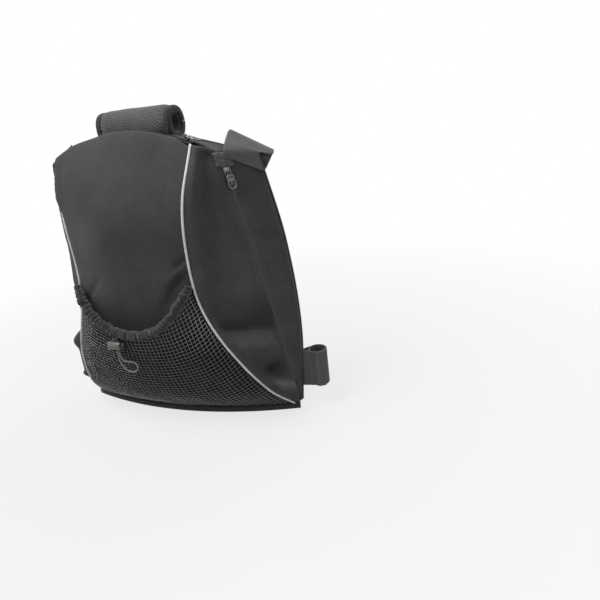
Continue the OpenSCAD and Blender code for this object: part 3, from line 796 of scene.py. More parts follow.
def line_object(name, lines):
    """Edges through lists of points."""
    points, edges = [], []
    for line in lines:
        first = len(points)
        points += [tuple(map(float, p)) for p in line]
        edges += [(first + i, first + i + 1) for i in range(len(line) - 1)]
    mesh = bpy.data.meshes.new(name)
    mesh.from_pydata(points, edges, [])
    return link(bpy.data.objects.new(name, mesh))


STITCH_PITCH = 0.0042
STITCH_SHARE = 0.78
STITCH_T = 0.0007


def stitches(name, lines, pitch=STITCH_PITCH):
    """A row of stitches along each line."""
    rows = line_object(name, lines)
    grown(rows, STITCH_TREE, THREAD, Pitch=pitch, Stitch=(pitch * STITCH_SHARE, STITCH_T, STITCH_T))
    return dress(rows, THREAD)


# Camera, floor and light
RECLINE = math.radians(16.7)
VIEW_TURN = math.radians(19.8)
VIEW_RISE = math.radians(3.8)
VIEW_ROLL = math.radians(-0.8)
VIEW_DISTANCE = 1.1276
VIEW_TARGET = Vector((0.1648, 0.1737, -0.3556))
FOCAL_SHARE = 581.4 / 600
SENSOR = 36.0
FLOOR_HALF = 12.0
FLOOR_GAP = 0.002
FLOOR_TONE = (0.44, 0.44, 0.44)
# The floor's shadow fades out between these distances from the bag
FADE_FROM = 0.55
FADE_TO = 1.3
FADE_NEAR = 0.76
WORLD_LIGHT = 0.27


def place_camera():
    """The bag leans back by its recline in the view, so the camera leans forward by as much."""
    lean = Matrix.Rotation(-RECLINE, 3, "X")
    back = lean @ Vector((
        math.sin(VIEW_TURN) * math.cos(VIEW_RISE),
        -math.cos(VIEW_TURN) * math.cos(VIEW_RISE),
        math.sin(VIEW_RISE),
    ))
    right = lean @ Vector((math.cos(VIEW_TURN), math.sin(VIEW_TURN), 0))
    up = back.cross(right)
    right, up = (
        right * math.cos(VIEW_ROLL) + up * math.sin(VIEW_ROLL),
        up * math.cos(VIEW_ROLL) - right * math.sin(VIEW_ROLL),
    )
    data = bpy.data.cameras.new("camera")
    data.sensor_width = SENSOR
    data.lens = FOCAL_SHARE * SENSOR
    data.clip_start = 0.01
    camera = link(bpy.data.objects.new("camera", data))
    turned = Matrix((right, up, back)).transposed().to_4x4()
    camera.matrix_world = Matrix.Translation(VIEW_TARGET + back * VIEW_DISTANCE) @ turned
    bpy.context.scene.camera = camera


def seen_directly(tree):
    """1 for rays that show a surface: straight from the camera, mirrored or through glass."""
    path = add_node(tree, "ShaderNodeLightPath")
    either = math_node(tree, "MAXIMUM", path.outputs["Is Camera Ray"], path.outputs["Is Glossy Ray"])
    return math_node(tree, "MAXIMUM", either, path.outputs["Is Transmission Ray"])


def place_floor():
    """White floor that keeps the shadow near the bag and fades into the background."""
    low = CAD_BOX[0].z - FLOOR_GAP
    corners = [(x * FLOOR_HALF, y * FLOOR_HALF, low) for x, y in ((-1, -1), (1, -1), (1, 1), (-1, 1))]
    floor = mesh_object("floor", corners, [(0, 1, 2, 3)])
    material, tree, shader = new_material("floor_white", FLOOR_TONE, 0.9, 0.1)
    glow = add_node(tree, "ShaderNodeEmission", Strength=1.0)
    coords = add_node(tree, "ShaderNodeTexCoord")
    place = coords.outputs["Object"]
    away = add_node(tree, "ShaderNodeVectorMath", [("operation", "LENGTH")], Vector=place)
    fade = add_node(
        tree, "ShaderNodeMapRange", Value=away.outputs["Value"],
        From_Min=FADE_FROM, From_Max=FADE_TO, To_Min=FADE_NEAR, To_Max=1.0,
    )
    mix = add_node(tree, "ShaderNodeMixShader")
    share = math_node(tree, "MULTIPLY", fade.outputs[0], seen_directly(tree))
    for socket, value in zip(mix.inputs, (share, shader.outputs[0], glow.outputs[0])):
        feed(tree, socket, value)
    feed(tree, tree.nodes["Material Output"].inputs["Surface"], mix.outputs[0])
    floor.data.materials.append(material)


def place_light(name, place, aim, size, power):
    data = bpy.data.lights.new(name, "AREA")
    data.shape = "DISK"
    data.size = size
    data.energy = power
    lamp = link(bpy.data.objects.new(name, data))
    lamp.location = place
    lamp.rotation_euler = (Vector(aim) - Vector(place)).to_track_quat("-Z", "Y").to_euler()


def place_world():
    world = bpy.data.worlds.new("studio")
    bpy.context.scene.world = world
    world.use_nodes = True
    tree = world.node_tree
    background = tree.nodes["Background"]
    background.inputs["Color"].default_value = (1, 1, 1, 1)
    lift = add_node(tree, "ShaderNodeMapRange", Value=seen_directly(tree), To_Min=WORLD_LIGHT, To_Max=1.0)
    feed(tree, background.inputs["Strength"], lift.outputs[0])


bpy.context.scene.view_settings.view_transform = "Standard"
place_camera()
place_floor()
place_world()
place_light("sky", (-0.5, -0.8, 1.6), (0, 0, -0.2), 1.2, 47)
place_light("back", (0.5, 1.7, 1.1), (0, 0, -0.2), 1.4, 18)
place_light("side", (1.9, -1.1, 0.7), (0.1, 0, -0.25), 1.2, 10)


# Drawcord: it comes out of the hem's eyelet, runs through the lock and hangs in a loop
def lock_centre():
    low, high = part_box("cord_lock_barrel")
    eyelet_low, eyelet_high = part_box("hem_eyelet")
    return np.array(((eyelet_low.x + eyelet_high.x) / 2, (low.y + high.y) / 2, (low.z + high.z) / 2))


STRAND_X = CORD_R + 0.0004
STRAND_TOP = 0.014
LOCK_C = lock_centre()
DRAWCORD_ROUTE = [
    *[(-STRAND_X, z) for z in (STRAND_TOP, 0.008, 0.0, -0.010, -0.020)],
    (-0.001, -0.028), (0.002, -0.036), (0.008, -0.043), (0.017, -0.046), (0.026, -0.044),
    (0.030, -0.037), (0.028, -0.031), (0.021, -0.0285), (0.014, -0.0285), (0.008, -0.027),
    (0.0035, -0.0235),
    *[(STRAND_X, z) for z in (-0.018, -0.010, 0.0, 0.008, STRAND_TOP)],
]


def make_drawcord():
    points = np.array([LOCK_C + np.array((x, 0, z)) for x, z in DRAWCORD_ROUTE])
    fine = np.linspace(0, len(points) - 1, 4 * len(points) - 3)
    path = np.stack([curve(np.arange(len(points)), points[:, i], fine) for i in range(3)], axis=1)
    cord = loft("drawcord_loop", tube_rings(path, CORD_R, 10, (0, 1, 0)))
    dress(cord, CORD, "bag", ["drawcord"])


make_drawcord()


# Shell panels
def raised(grid, height):
    return grid + height[..., None] * grid_normals(grid)


# Rear panel: its rolled lip, its swelling from left to right, and its upper left corner
REAR_ROLL = 0.0032
LIP_SIDE = -0.0060
LIP_MIDDLE = 0.0022
LIP_LEFT = -0.0040
SWELL_LEFT = 0.0075
SWELL_RIGHT = 0.0030
SWELL_T = (0.48, 0.70)
SWELL_BY_SEAM = 0.0065
SWELL_BY_LIP = 0.012
REAR_WAVES = ((0.0011, 0.16, 3), (0.0003, 0.05, 4))
ROLL_TURNS = np.linspace(0.2, 1.7, 9)
CORNER_BACK = np.array((-0.0050, -0.0050, 0))
CORNER_UP = np.array((-0.0045, -0.0020, 0.0060))
# Painted shade on the panel behind the net and above the hem, and painted light on its left
SHADE_BEHIND_NET = 0.90
SHADE_ABOVE_HEM = 0.60
PAINTED_LIGHT_LEFT = 0.60
# Soft creases low on the panel beside the hem: middle, length, width and depth
REAR_CREASES = [
    (0.76, 0.56, 0.20, 0.045, 0.0042),
    (0.62, 0.51, 0.26, 0.055, 0.0030),
    (0.88, 0.635, 0.14, 0.038, 0.0036),
    (0.80, 0.60, 0.20, 0.030, -0.0016),
    (-0.70, 0.54, 0.24, 0.055, 0.0018),
]
# The creases slope: cosine and sine of their turn, with a station counted as four shares
CREASE_COS = 0.78
CREASE_SIN = 0.62
CREASE_RISE = 4
PUCKER = 0.0006
PUCKER_REACH = 0.008


def seam_pull(across, z, from_seam, pitch, patch, seed, sink, reach):
    """Puckers along a seam, and the dip where its thread pulls the cloth in."""
    pucker = PUCKER * np.sin(2 * math.pi * z / pitch + 3 * ripples(across, z, patch, seed))
    return pucker * np.exp(-from_seam / PUCKER_REACH) - sink * np.exp(-from_seam / reach)


def rear_panel_grid():
    """Padded panel: it swells beside its upper seams and stands up in a rolled lip at the top."""
    k = np.linspace(-1, 1, 121)[:, None] * (1 - 0.001 / REAR_HALVES[2])
    lip = lerp(LIP_SIDE, LIP_MIDDLE, 1 - k**4) + LIP_LEFT * smooth(0.86, 1.0, -k)
    t = lerp(T_LOW, 1 + lip / (BAG_H + CROWN), np.linspace(0, 1, 141)[None, :])
    k = k + 0 * t
    grid = rear_face(k, t)
    x, z = grid[..., 0], grid[..., 2]
    edge = (1 - np.abs(k)) * rear_half(t)
    below_lip = (t[:, -1:] - t) * BAG_H
    swell = lerp(SWELL_LEFT, SWELL_RIGHT, (k + 1) / 2) * smooth(*SWELL_T, t)
    height = swell * (1 - np.exp(-edge / SWELL_BY_SEAM)) * (1 - np.exp(-below_lip / SWELL_BY_LIP))
    height += waves(x, z, *REAR_WAVES)
    height += seam_pull(x, z, edge, 0.013, 0.05, 5, 0.0012, 0.0035)
    for k0, t0, run, width, deep in REAR_CREASES:
        beside, up = k - k0, (t - t0) * CREASE_RISE
        along = beside * CREASE_COS + up * CREASE_SIN
        across = up * CREASE_COS - beside * CREASE_SIN
        height -= deep * bump(across, 0, width) * bump(along, 0, run)
    grid = raised(grid, height)
    over = (smooth(0.78, 0.88, t) * smooth(0.88, 0.985, -k))[..., None]
    corner = (smooth(0.40, 0.95, -k) * smooth(0.80, 0.99, t))[..., None]
    grid = grid + over * CORNER_BACK + corner * CORNER_UP
    normal, up = grid_normals(grid)[:, -1], unit(grid[:, -1] - grid[:, -2])
    rolled = [
        grid[:, -1] + REAR_ROLL * (math.sin(a) * up - (1 - math.cos(a)) * normal)
        for a in ROLL_TURNS
    ]
    over_hem = t - hem_t(k)
    # Painted shade behind the net and just above the hem, and painted light on the left of the panel
    painted_shading = SHADE_BEHIND_NET * (1 - smooth(-0.020, 0.004, over_hem))
    painted_shading = np.maximum(painted_shading, SHADE_ABOVE_HEM * np.exp(-np.maximum(over_hem, 0) / 0.12))
    painted_shading = painted_shading - PAINTED_LIGHT_LEFT * smooth(-0.15, -0.75, k) * bump(t, 0.60, 0.16) * smooth(0.0, 0.03, over_hem)
    painted_shading = np.concatenate([painted_shading, np.zeros((len(k), len(rolled)))], axis=1)
    return np.concatenate([grid, np.stack(rolled, axis=1)], axis=1), painted_shading


# Side fabric: the lips beside the zip, and the station below which they end
LIP_INSET = 0.0014
LIP_RISE = 0.0008
LIP_END = ZIP_T_LOW - 0.03
SEAM_INSET = 0.0008
GUSSET_T = np.linspace(T_LOW, 0.997, 161)[None, :]
REAR_COLUMNS = 41
FRONT_COLUMNS = 31
GUSSET_WAVES = ((0.0016, 0.11, 7), (0.0006, 0.035, 8))
# Its slack across the side, high up: height, place and width
SLACK_T = (0.38, 0.60)
SLACK_RIDGE = (0.0045, 0.17, 0.12)
SLACK_DIP = (0.0085, 0.50, 0.22)
FRONT_SLACK = (0.0030, 1.5, 0.35)
FRONT_SLACK_T = (0.60, 0.25)
# A slanting fold, by its stations at the rear seam and the zip, and the swelling below it
FOLD_T = (0.392, 0.350)
FOLD_DIP = (0.0070, 0.010, 0.021)
SWELLING = (0.0120, -0.062, 0.044)
# A dent and a low fold at the bottom corner
DENT = (0.0120, 0.52, 0.24)
DENT_T = (0.208, 0.028)
LOW_FOLD_T = (0.172, 0.105)
LOW_FOLD_H = 0.0125
LOW_FOLD_W = 0.026
# Painted shade in the fold and the dent, and how much painted light lies on the low fold and the swelling
FOLD_SHADE = (0.46, 0.415, 0.060)
DENT_SHADE = (0.57, 0.54, 0.26)
DENT_SHADE_T = (0.212, 0.030)
LOW_FOLD_PAINTED_LIGHT = 1.15
LOW_FOLD_LIT_T = (0.176, 0.108)
SWELLING_PAINTED_LIGHT = 0.25
SWELLING_LIT_T = (0.345, 0.300)


def gusset_grid(start, end, columns, first):
    """Side fabric between two lines: first is 0 from the rear seam to the zip, and 1 from there on."""
    t = GUSSET_T
    a, b = start(t[0]), end(t[0])
    span = np.linalg.norm(b - a, axis=-1)
    inset = np.where(t[0] > LIP_END, LIP_INSET, 0.0002) / span
    low, high = (inset, 1.0) if first else (SEAM_INSET / span, 1 - inset)
    w = lerp(low, high, np.linspace(0, 1, columns)[:, None])
    grid = lerp(a, b, w[..., None]) + (PUFF * 4 * w * (1 - w))[..., None] * gusset_out(t[0])
    gone, left = w * span, (1 - w) * span
    from_seam, from_zip = (left, gone) if first else (gone, left)
    return raised(grid, gusset_folds(grid, first + w, t, from_seam, from_zip))


def rear_gusset_painted_shading():
    """Painted shade in the folds of the side, and less than none, as painted light, on the low fold and the
    swelling.
    """
    share = np.linspace(0, 1, REAR_COLUMNS)[:, None]
    t = GUSSET_T
    fold = smooth(0.02, 0.2, share) * hump(t, *FOLD_SHADE)
    painted_shading = np.maximum(fold, hump(share, *DENT_SHADE) * bump(t, *DENT_SHADE_T))
    low_fold = smooth(0.20, 0.45, share) * bump(t, lerp(*LOW_FOLD_LIT_T, share), 0.024)
    inner = smooth(0.05, 0.25, share) * smooth(1.0, 0.8, share)
    swelling = inner * bump(t, lerp(*SWELLING_LIT_T, share), 0.040)
    return painted_shading - LOW_FOLD_PAINTED_LIGHT * low_fold - SWELLING_PAINTED_LIGHT * swelling


def gusset_folds(grid, share, t, from_seam, from_zip):
    """Height of the side fabric; share is 0 at the rear seam, 1 at the zip and 2 at the front seam."""
    y, z = grid[..., 1], grid[..., 2]
    height = waves(y, z, *GUSSET_WAVES)
    # Slack between the rear seam and the zip, high up
    height += smooth(*SLACK_T, t) * (hump(share, *SLACK_RIDGE) - hump(share, *SLACK_DIP))
    height += hump(share, *FRONT_SLACK) * bump(t, *FRONT_SLACK_T)
    # A fold with a swelling below it, then a dent and a fold at the bottom corner
    level = t - lerp(*FOLD_T, np.minimum(share, 1)) - 0.006 * ripples(share, t, 0.7, 10)
    reach = smooth(0.03, 0.20, share) * (1 - 0.5 * smooth(0.65, 0.95, share)) * (share < 1)
    height += reach * (hump(level, *SWELLING) - hump(level, *FOLD_DIP))
    height -= hump(share, *DENT) * bump(t, *DENT_T)
    reach = smooth(0.15, 0.38, share) * (1 - smooth(1.20, 1.75, share))
    height += LOW_FOLD_H * reach * bump(t, lerp(*LOW_FOLD_T, np.minimum(share, 1.2)), LOW_FOLD_W)
    # Flat beside the zip, so that the slider and its pull pass
    clear = smooth(0.0080, np.where(t > 0.2, 0.019, 0.0150), from_zip)
    beside = np.where(height > 0, clear, smooth(0.004, 0.013, from_zip))
    height *= np.where(t > ZIP_T_LOW - 0.08, beside, 1.0)
    height += np.where(t > LIP_END, LIP_RISE, 0) * np.exp(-from_zip / 0.004)
    height += seam_pull(y, z, from_seam, 0.012, 0.04, 9, 0.0014, 0.003)
    return height * np.minimum(1, (1 - t) / 0.02 + 0.1)


def declare_cut(grid):
    """Works out the lengths across and along a sewn panel's cloth; nothing is done with them."""
    u, v = grid_lengths(grid)


def shell_piece(name, grid, material=SHELL, thick=PANEL_T, replaces=(), fill=None):
    """A sewn panel of the shell; without a fill, the lengths of its cloth are worked out."""
    piece = dress(cloth_sheet(name, grid, thick), material, "bag", replaces)
    if fill is None:
        declare_cut(grid)
    return piece


REAR_GRID, REAR_PAINTED_SHADING = rear_panel_grid()
REAR_GUSSET_GRID = gusset_grid(rear_seam, zip_line, REAR_COLUMNS, 0)
FRONT_GUSSET_GRID = gusset_grid(zip_line, front_seam, FRONT_COLUMNS, 1)
shade(shell_piece("rear_panel_cloth", REAR_GRID, replaces=["rear_panel"]), REAR_PAINTED_SHADING)
for side in SIDES:
    rear_gusset = shell_piece(
        f"{side}_rear_gusset_cloth", on_side(REAR_GUSSET_GRID, side), replaces=[f"{side}_rear_gusset"]
    )
    shade(rear_gusset, rear_gusset_painted_shading()[:: SIDES[side]])
    shell_piece(
        f"{side}_front_gusset_cloth", on_side(FRONT_GUSSET_GRID, side), replaces=[f"{side}_front_gusset"]
    )

PIPING_SHOWN = 0.0019
PIPING_PULSE = 0.03
PIPING_PITCH = 0.009
PIPING_TOP = {"right": 0.9995, "left": 0.975}


def make_piping(side):
    t = np.linspace(T_LOW - 0.004, PIPING_TOP[side], 161)
    path = rear_seam(t) * mirror(side)
    pulse = 1 + PIPING_PULSE * np.sin(2 * math.pi * path[:, 2] / PIPING_PITCH)[:, None]
    piece = loft(f"{side}_piping_cord", tube_rings(path, PIPING_SHOWN * pulse, 14, (1, 0, 0)))
    dress(piece, PIPING, "bag", [f"{side}_piping"])


for side in SIDES:
    make_piping(side)


# Mesh pocket
NET_COLUMN = 0.0056
NET_ROW = 0.0054
NET_FAN = 1.2
NET_SMILE = 0.5 * (HEM_SIDE - HEM_DIP)
NET_EDGE = 0.995
STRAND_R = 0.00052
KNOT_R = 0.00085
NET_WAVES = (0.0012, 0.05, 21)
NET_CLEAR = 0.0006
# Painted shade on the net: at the bottom, in the middle and on the left
NET_SHADE_LOW = 0.90
NET_SHADE_MIDDLE = 0.62
NET_SHADE_LEFT = 0.80
SHORTEST_END = 0.05


def net_knot(i, j):
    """Where upright strand i crosses cross strand j, as a share of the width and a station."""
    k = 0.0
    for _ in range(16):
        t = NET_LOW + j * NET_ROW / BAG_H + NET_SMILE * k * k
        k = float(np.clip(i * NET_COLUMN * (1 + NET_FAN * (HEM_SIDE - t)) / rear_half(t), -1.2, 1.2))
    return k, t


def net_share(k, t):
    """Share of the way from the bottom of the net to its hem."""
    return (t - NET_LOW) / (net_top(np.asarray(k)) - NET_LOW)


def in_net(i, j):
    k, t = net_knot(i, j)
    return abs(k) <= NET_EDGE and 0 <= net_share(k, t) <= 1


def net_strands():
    """Upright strands that fan out and cross strands that sag, cut at the edge, as points and edges."""
    across = int(REAR_HALVES[0] / NET_COLUMN) + 1
    low, high = -int(NET_SMILE * BAG_H / NET_ROW) - 1, int((HEM_SIDE - NET_LOW) * BAG_H / NET_ROW) + 1
    inside = {(i, j) for i in range(-across, across + 1) for j in range(low, high + 1) if in_net(i, j)}
    points, place, edges = [], {}, []
    for key in sorted(inside):
        place[key] = len(points)
        points.append(net_knot(*key))
    for i, j in sorted(inside):
        for di, dj in ((1, 0), (0, 1), (-1, 0), (0, -1)):
            beside = (i + di, j + dj)
            if beside in inside:
                if di + dj > 0:
                    edges.append((place[i, j], place[beside]))
                continue
            kept, lost = 0.0, 1.0
            for _ in range(14):
                share = (kept + lost) / 2
                if in_net(i + di * share, j + dj * share):
                    kept = share
                else:
                    lost = share
            if kept > SHORTEST_END:
                edges.append((place[i, j], len(points)))
                points.append(net_knot(i + di * kept, j + dj * kept))
    return np.array([(k, net_share(k, t)) for k, t in points]), edges


def make_net():
    shares, edges = net_strands()
    points = net_point(shares[:, 0], shares[:, 1])
    points[:, 1] -= waves(points[:, 0], points[:, 2], NET_WAVES) + NET_CLEAR
    mesh = bpy.data.meshes.new("pocket_net")
    mesh.from_pydata(points.tolist(), edges, [])
    net = link(bpy.data.objects.new("pocket_net", mesh))
    grown(net, NET_TREE, NET, Strand_radius=STRAND_R, Knot_radius=KNOT_R)
    # Painted shade on the net: darker towards the bottom, in the middle and on the left, lightest at its
    # upper right
    place = np.array([v.co for v in net.data.vertices])
    net_shade = NET_SHADE_LOW * smooth(-0.275, -0.365, place[:, 2])
    net_shade = np.maximum(net_shade, NET_SHADE_MIDDLE * smooth(0.12, 0.04, np.abs(place[:, 0])))
    net_shade = np.maximum(net_shade, NET_SHADE_LEFT * smooth(0.02, -0.06, place[:, 0]))
    carry(net.data, "shade", net_shade)
    dress(net, NET, "bag", ["mesh_pocket"])


HEM_SHOWN = 0.0066
HEM_SIDES = 28
HEM_GATHER = 0.0075
HEM_OVAL = 0.25


def make_hem():
    """Gathered tunnel of the elastic, fuller than the elastic itself."""
    k = np.linspace(-NET_HALF, NET_HALF, 801)
    path = hem_point(k) + np.array((0, 0, HEM_SHOWN - HEM_R))
    run = run_along(path)[:, None]
    turn = full_turn(HEM_SIDES)[None, :]
    gather = np.sin(2 * math.pi * run / HEM_GATHER + 2.4 * ripples(run, turn * HEM_R, 0.03, 31))
    lumps = ripples(run, turn * HEM_R, 0.020, 32)
    fuzz = ripples(run, turn * HEM_R, 0.0045, 33)
    radius = HEM_SHOWN * (1 + 0.06 * gather + 0.15 * lumps + 0.08 * fuzz)
    radius = radius * (1 + HEM_OVAL * np.abs(np.sin(turn)))
    radius = radius * lerp(0.72, 1.0, smooth(0.0, 0.02, np.minimum(run, run[-1] - run)))
    hem = loft("pocket_hem_gathered", tube_rings(path, radius, HEM_SIDES, (0, 1, 0)))
    dress(hem, HEM, "bag", ["pocket_hem"])


make_net()
make_hem()


# Copies of hard nodes
SLIDER_ROUND = 0.0004
PULL_ROUND = 0.0003
MOULDED_ROUND = 0.0006


def rounded_copy(name, node, width):
    """A copy of a hard node with its edges rounded."""
    mesh = bmesh.new()
    mesh.from_mesh(frame["nodes"][node].data)
    bmesh.ops.remove_doubles(mesh, verts=mesh.verts, dist=1e-6)
    bmesh.ops.dissolve_limit(mesh, angle_limit=0.01, verts=mesh.verts, edges=mesh.edges)
    made = bpy.data.meshes.new(name)
    mesh.to_mesh(made)
    mesh.free()
    made.shade_smooth()
    return soften(link(bpy.data.objects.new(name, made)), width)


# Top of the shell
GAP = 0.0004
SEAM_TRIM = 0.0024
WING_W = 0.011
TOP_BEND = 0.45
ARC_TOP_Z = BASE_Z + BAG_H + CROWN
ARC_R = (REAR_HALVES[3] ** 2 + CROWN**2) / (2 * CROWN)
ARC_Y = CORNER_Y - DEPTHS[-1] + PANEL_T + WING_W / 2 + GAP
ARC_C = np.array((0, ARC_Y, ARC_TOP_Z - ARC_R))
ARC_HALF = math.asin((REAR_HALVES[3] - PIPING_R - GAP) / ARC_R)
TOP_REAR_Y = ARC_Y + TAPE_W / 2 + GAP
TOP_FRONT_DROP = math.sqrt((SLEEVE_R + GAP) ** 2 - (TUBE_OFF + SEAM_TRIM) ** 2)
TOP = np.asarray(1.0)
TOP_WAVES = (0.0010, 0.07, 41)


def shoulder_line(v):
    v = np.asarray(v, float)[..., None]
    rear, middle, front = rear_seam(TOP), zip_line(TOP), front_seam(TOP)
    return np.where(
        v < TOP_BEND,
        lerp(rear, middle, v / TOP_BEND),
        lerp(middle, front, (v - TOP_BEND) / (1 - TOP_BEND)),
    )


TOP_V = TOP_BEND * (TOP_REAR_Y - rear_seam(TOP)[1]) / (zip_line(TOP)[1] - rear_seam(TOP)[1])


def top_face(k, v):
    s = shoulder_line(v)
    w = (v - TOP_V) / (1 - TOP_V)
    y = lerp(TOP_REAR_Y, -TUBE_OFF - SEAM_TRIM, w)
    z = lerp(ARC_TOP_Z - TAPE_T, -TOP_FRONT_DROP, w)
    return xyz((s[..., 0] - GAP) * k, lerp(y, s[..., 1], k * k), lerp(z, s[..., 2], k * k))


def top_panel_grid():
    k = np.linspace(-1, 1, 121)[:, None]
    v = np.linspace(TOP_V, 1, 33)[None, :]
    grid = top_face(k, v)
    x, y = grid[..., 0], grid[..., 1]
    height = waves(x, y, TOP_WAVES) * (1 - np.abs(k)) ** 0.5
    arch = np.maximum(0, np.sin(math.pi * (v - TOP_V) / (1 - TOP_V)))
    return raised(grid, height * arch ** 0.5)


def front_edge_z(x):
    return lerp(-TOP_FRONT_DROP, front_seam(TOP)[2], (x / FRONT_HALVES[3]) ** 2)


def front_out(x):
    slope = 2 * BOW * x / BOW_HALF**2
    return unit(xyz(-slope, 1 + 0 * x, 0 * x))


def on_front(x, z, off):
    return xyz(x, front_y(x), z) + np.asarray(off)[..., None] * front_out(np.asarray(x) + 0 * z)


FRONT_INSET = 0.002
FRONT_T = 0.004
FRONT_WAVES = (0.0010, 0.09, 51)
FRONT_SUNK = 0.0012


def front_panel_grid():
    k = np.linspace(1, -1, 121)[:, None]
    t = np.linspace(0, 1, 121)[None, :]
    x = k * (front_half(t) - FRONT_INSET)
    z = lerp(BASE_Z + STRIP_H, front_edge_z(x) - 0.0015, t)
    return on_front(x, z, waves(x, z, FRONT_WAVES) - FRONT_SUNK)


shell_piece("top_panel_cloth", top_panel_grid(), replaces=["top_panel"])
shell_piece(
    "front_panel_pad", front_panel_grid(), BACK, FRONT_T, replaces=["front_panel"], fill=0.8
)


def front_layer_grid(half, low, high, off, columns=41, rows=41):
    x = np.linspace(half, -half, columns)[:, None]
    z = np.linspace(low, high, rows)[None, :]
    return on_front(x + 0 * z, z + 0 * x, off + 0 * x * z)


LAYER_LOW, LAYER_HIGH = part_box("back_foam")
FOAM_T = 0.006
shell_piece(
    "back_foam_sheet",
    front_layer_grid(LAYER_HIGH.x - 0.0012, LAYER_LOW.z, LAYER_HIGH.z, -FRONT_T - GAP),
    FOAM, FOAM_T, replaces=["back_foam"], fill=0.9,
)


STRIP_SQUARE = 2 / 5


def make_bottom_strip():
    """Strip of tape with rounded edges, bent along the bottom of the front panel."""
    half = FRONT_HALVES[0] - PIPING_R
    x = np.linspace(half, -half, 121)
    path = on_front(x, BASE_Z + STRIP_H / 2 + 0 * x, -STRIP_W / 2 + 0 * x)
    turn = full_turn(28)
    rise = squared(np.cos(turn), STRIP_SQUARE) * STRIP_H / 2
    reach = squared(np.sin(turn), STRIP_SQUARE) * STRIP_W / 2
    up = rise[None, :, None] * np.array((0.0, 0.0, 1.0))
    strip = loft("bottom_binding", path[:, None] + up + reach[None, :, None] * front_out(x)[:, None])
    dress(strip, WEBBING, "bag", ["bottom_strip"])


make_bottom_strip()


FRONT_BINDING_R = 0.0026


def make_front_binding():
    """Bound seam round the front panel: up both sides and along the top."""
    t = np.linspace(T_LOW, 1, 121)
    right = front_seam(t)
    k = np.linspace(1, -1, 121)
    top = top_face(k, 1.0 + 0 * k)
    left = (right * mirror("left"))[::-1]
    path = np.concatenate([right[:-1], top, left[1:]])
    rings = tube_rings(path, FRONT_BINDING_R, 12, (0, 1, 0))
    dress(loft("front_binding", rings), WEBBING)


make_front_binding()


# Zips
def zip_points(side, x, y, z):
    local = xyz(x, y, z)
    world = zip_top + local @ np.stack([zip_across, zip_along, zip_out])
    return world * mirror(side)


def arc_points(x, angle, rise):
    """Points on the top zip: across it towards the rear, along its arc and over it."""
    reach = ARC_R + rise
    return ARC_C + xyz(reach * np.sin(angle), -x + 0 * angle, reach * np.cos(angle))


SLOT_HALF = 0.0008
BEAD_RISE = 0.0007
TOOTH = (0.0023, 0.0013, 0.0014)
TOOTH_OUT = 0.00175


def make_tapes(name, points, lengths, slot_nodes):
    """Two tapes side by side, with the teeth along their inner edges."""
    x = np.linspace(SLOT_HALF, TAPE_W / 2, 7)[:, None]
    halves = []
    for sign in (1, -1):
        across = x if sign > 0 else -x[::-1]
        out = points(0.0, lengths[:1], 0.001)[0] - points(0.0, lengths[:1], 0.0)[0]
        grid = facing(points(across, lengths[None, :], 0.0), 0, 0, out)
        halves.append(cloth_sheet(name + "_half", grid, TAPE_T))
    return dress(join(name, halves), TAPE, "bag", slot_nodes)


def make_teeth(name, line, centre):
    teeth = line_object(name, [line])
    grown(
        teeth, TEETH_TREE, TEETH, Pitch=TOOTH_PITCH / 2, Tooth=TOOTH, Stagger=TOOTH_OUT,
        Arc_centre=tuple(map(float, centre)),
    )
    return dress(teeth, TEETH)


# Rims of a pull's two loops: where each starts and ends along the tab, and its half width
RIMS = ((0.175, 0.52, 0.0050), (0.42, 1.01, 0.0056))
RIM_R = 0.0012
RIM_SQUARE = 0.7
WEB_HALF = 0.0007


def make_slider(name):
    """Slider and its pull: a rubber tab with a metal rim round its two loops."""
    slider, pull = name + "_slider", name + "_pull"
    dress(rounded_copy(slider + "_cast", slider, SLIDER_ROUND), METAL, slider, [slider])
    tab = rounded_copy(pull + "_tab", pull, PULL_ROUND)
    pin = np.array(JOINTS[name.replace("_zip", "_pull_swing")]["pos_m"], float)
    points = np.array([v.co for v in tab.data.vertices])
    far = points[np.argmax(np.linalg.norm(points - pin, axis=1))] - pin
    spread = np.linalg.svd(points - points.mean(axis=0), full_matrices=False)[2]
    along = spread[0] * np.sign(spread[0] @ far)
    reach = ((points - pin) @ along).max()
    middle = points[(points - pin) @ along > 0.4 * reach].mean(axis=0)
    base = middle - along * ((middle - pin) @ along)
    dress(tab, PULL, pull, [pull])
    loops = []
    turn = np.linspace(0, 2 * math.pi, 41)
    for start, end, half in RIMS:
        u = lerp(start, end, (1 + squared(np.cos(turn), RIM_SQUARE)) / 2) * reach
        w = half * squared(np.sin(turn), RIM_SQUARE)
        loops.append(base + u[:, None] * along + w[:, None] * spread[1])
    rims = [loft(name + "_rim", tube_rings(path, RIM_R, 10, spread[2])) for path in loops]
    dress(join(pull + "_rims", rims), RIM, pull)
    loop = loops[0][:-1]
    inner = loop + 0.12 * (loop.mean(axis=0) - loop)
    web = loft(pull + "_web", [inner - WEB_HALF * spread[2], inner + WEB_HALF * spread[2]])
    web.data.set_sharp_from_angle(angle=SHARP_ANGLE)
    dress(web, PULL, pull)


def make_side_zip(side):
    run = np.linspace(-GARAGE_L, zip_len + ZIP_TAIL, 161)

    def points(x, y, z):
        return zip_points(side, x, y, z)

    make_tapes(f"{side}_zip_tape_pair", points, run, [f"{side}_zip_tapes"])
    below = zip_points(side, 0.0, zip_len / 2, -10.0)
    make_teeth(f"{side}_zip_teeth", zip_points(side, 0.0, run[2:-4], BEAD_RISE), below)
    make_slider(f"{side}_zip")
    make_garage(side)


def make_top_zip():
    run = np.linspace(-ARC_HALF, ARC_HALF, 121)
    make_tapes("top_zip_tape_pair", arc_points, run, ["top_zip_tapes"])
    make_teeth("top_zip_teeth", arc_points(0.0, run[1:-1], BEAD_RISE), ARC_C)
    make_slider("top_zip")


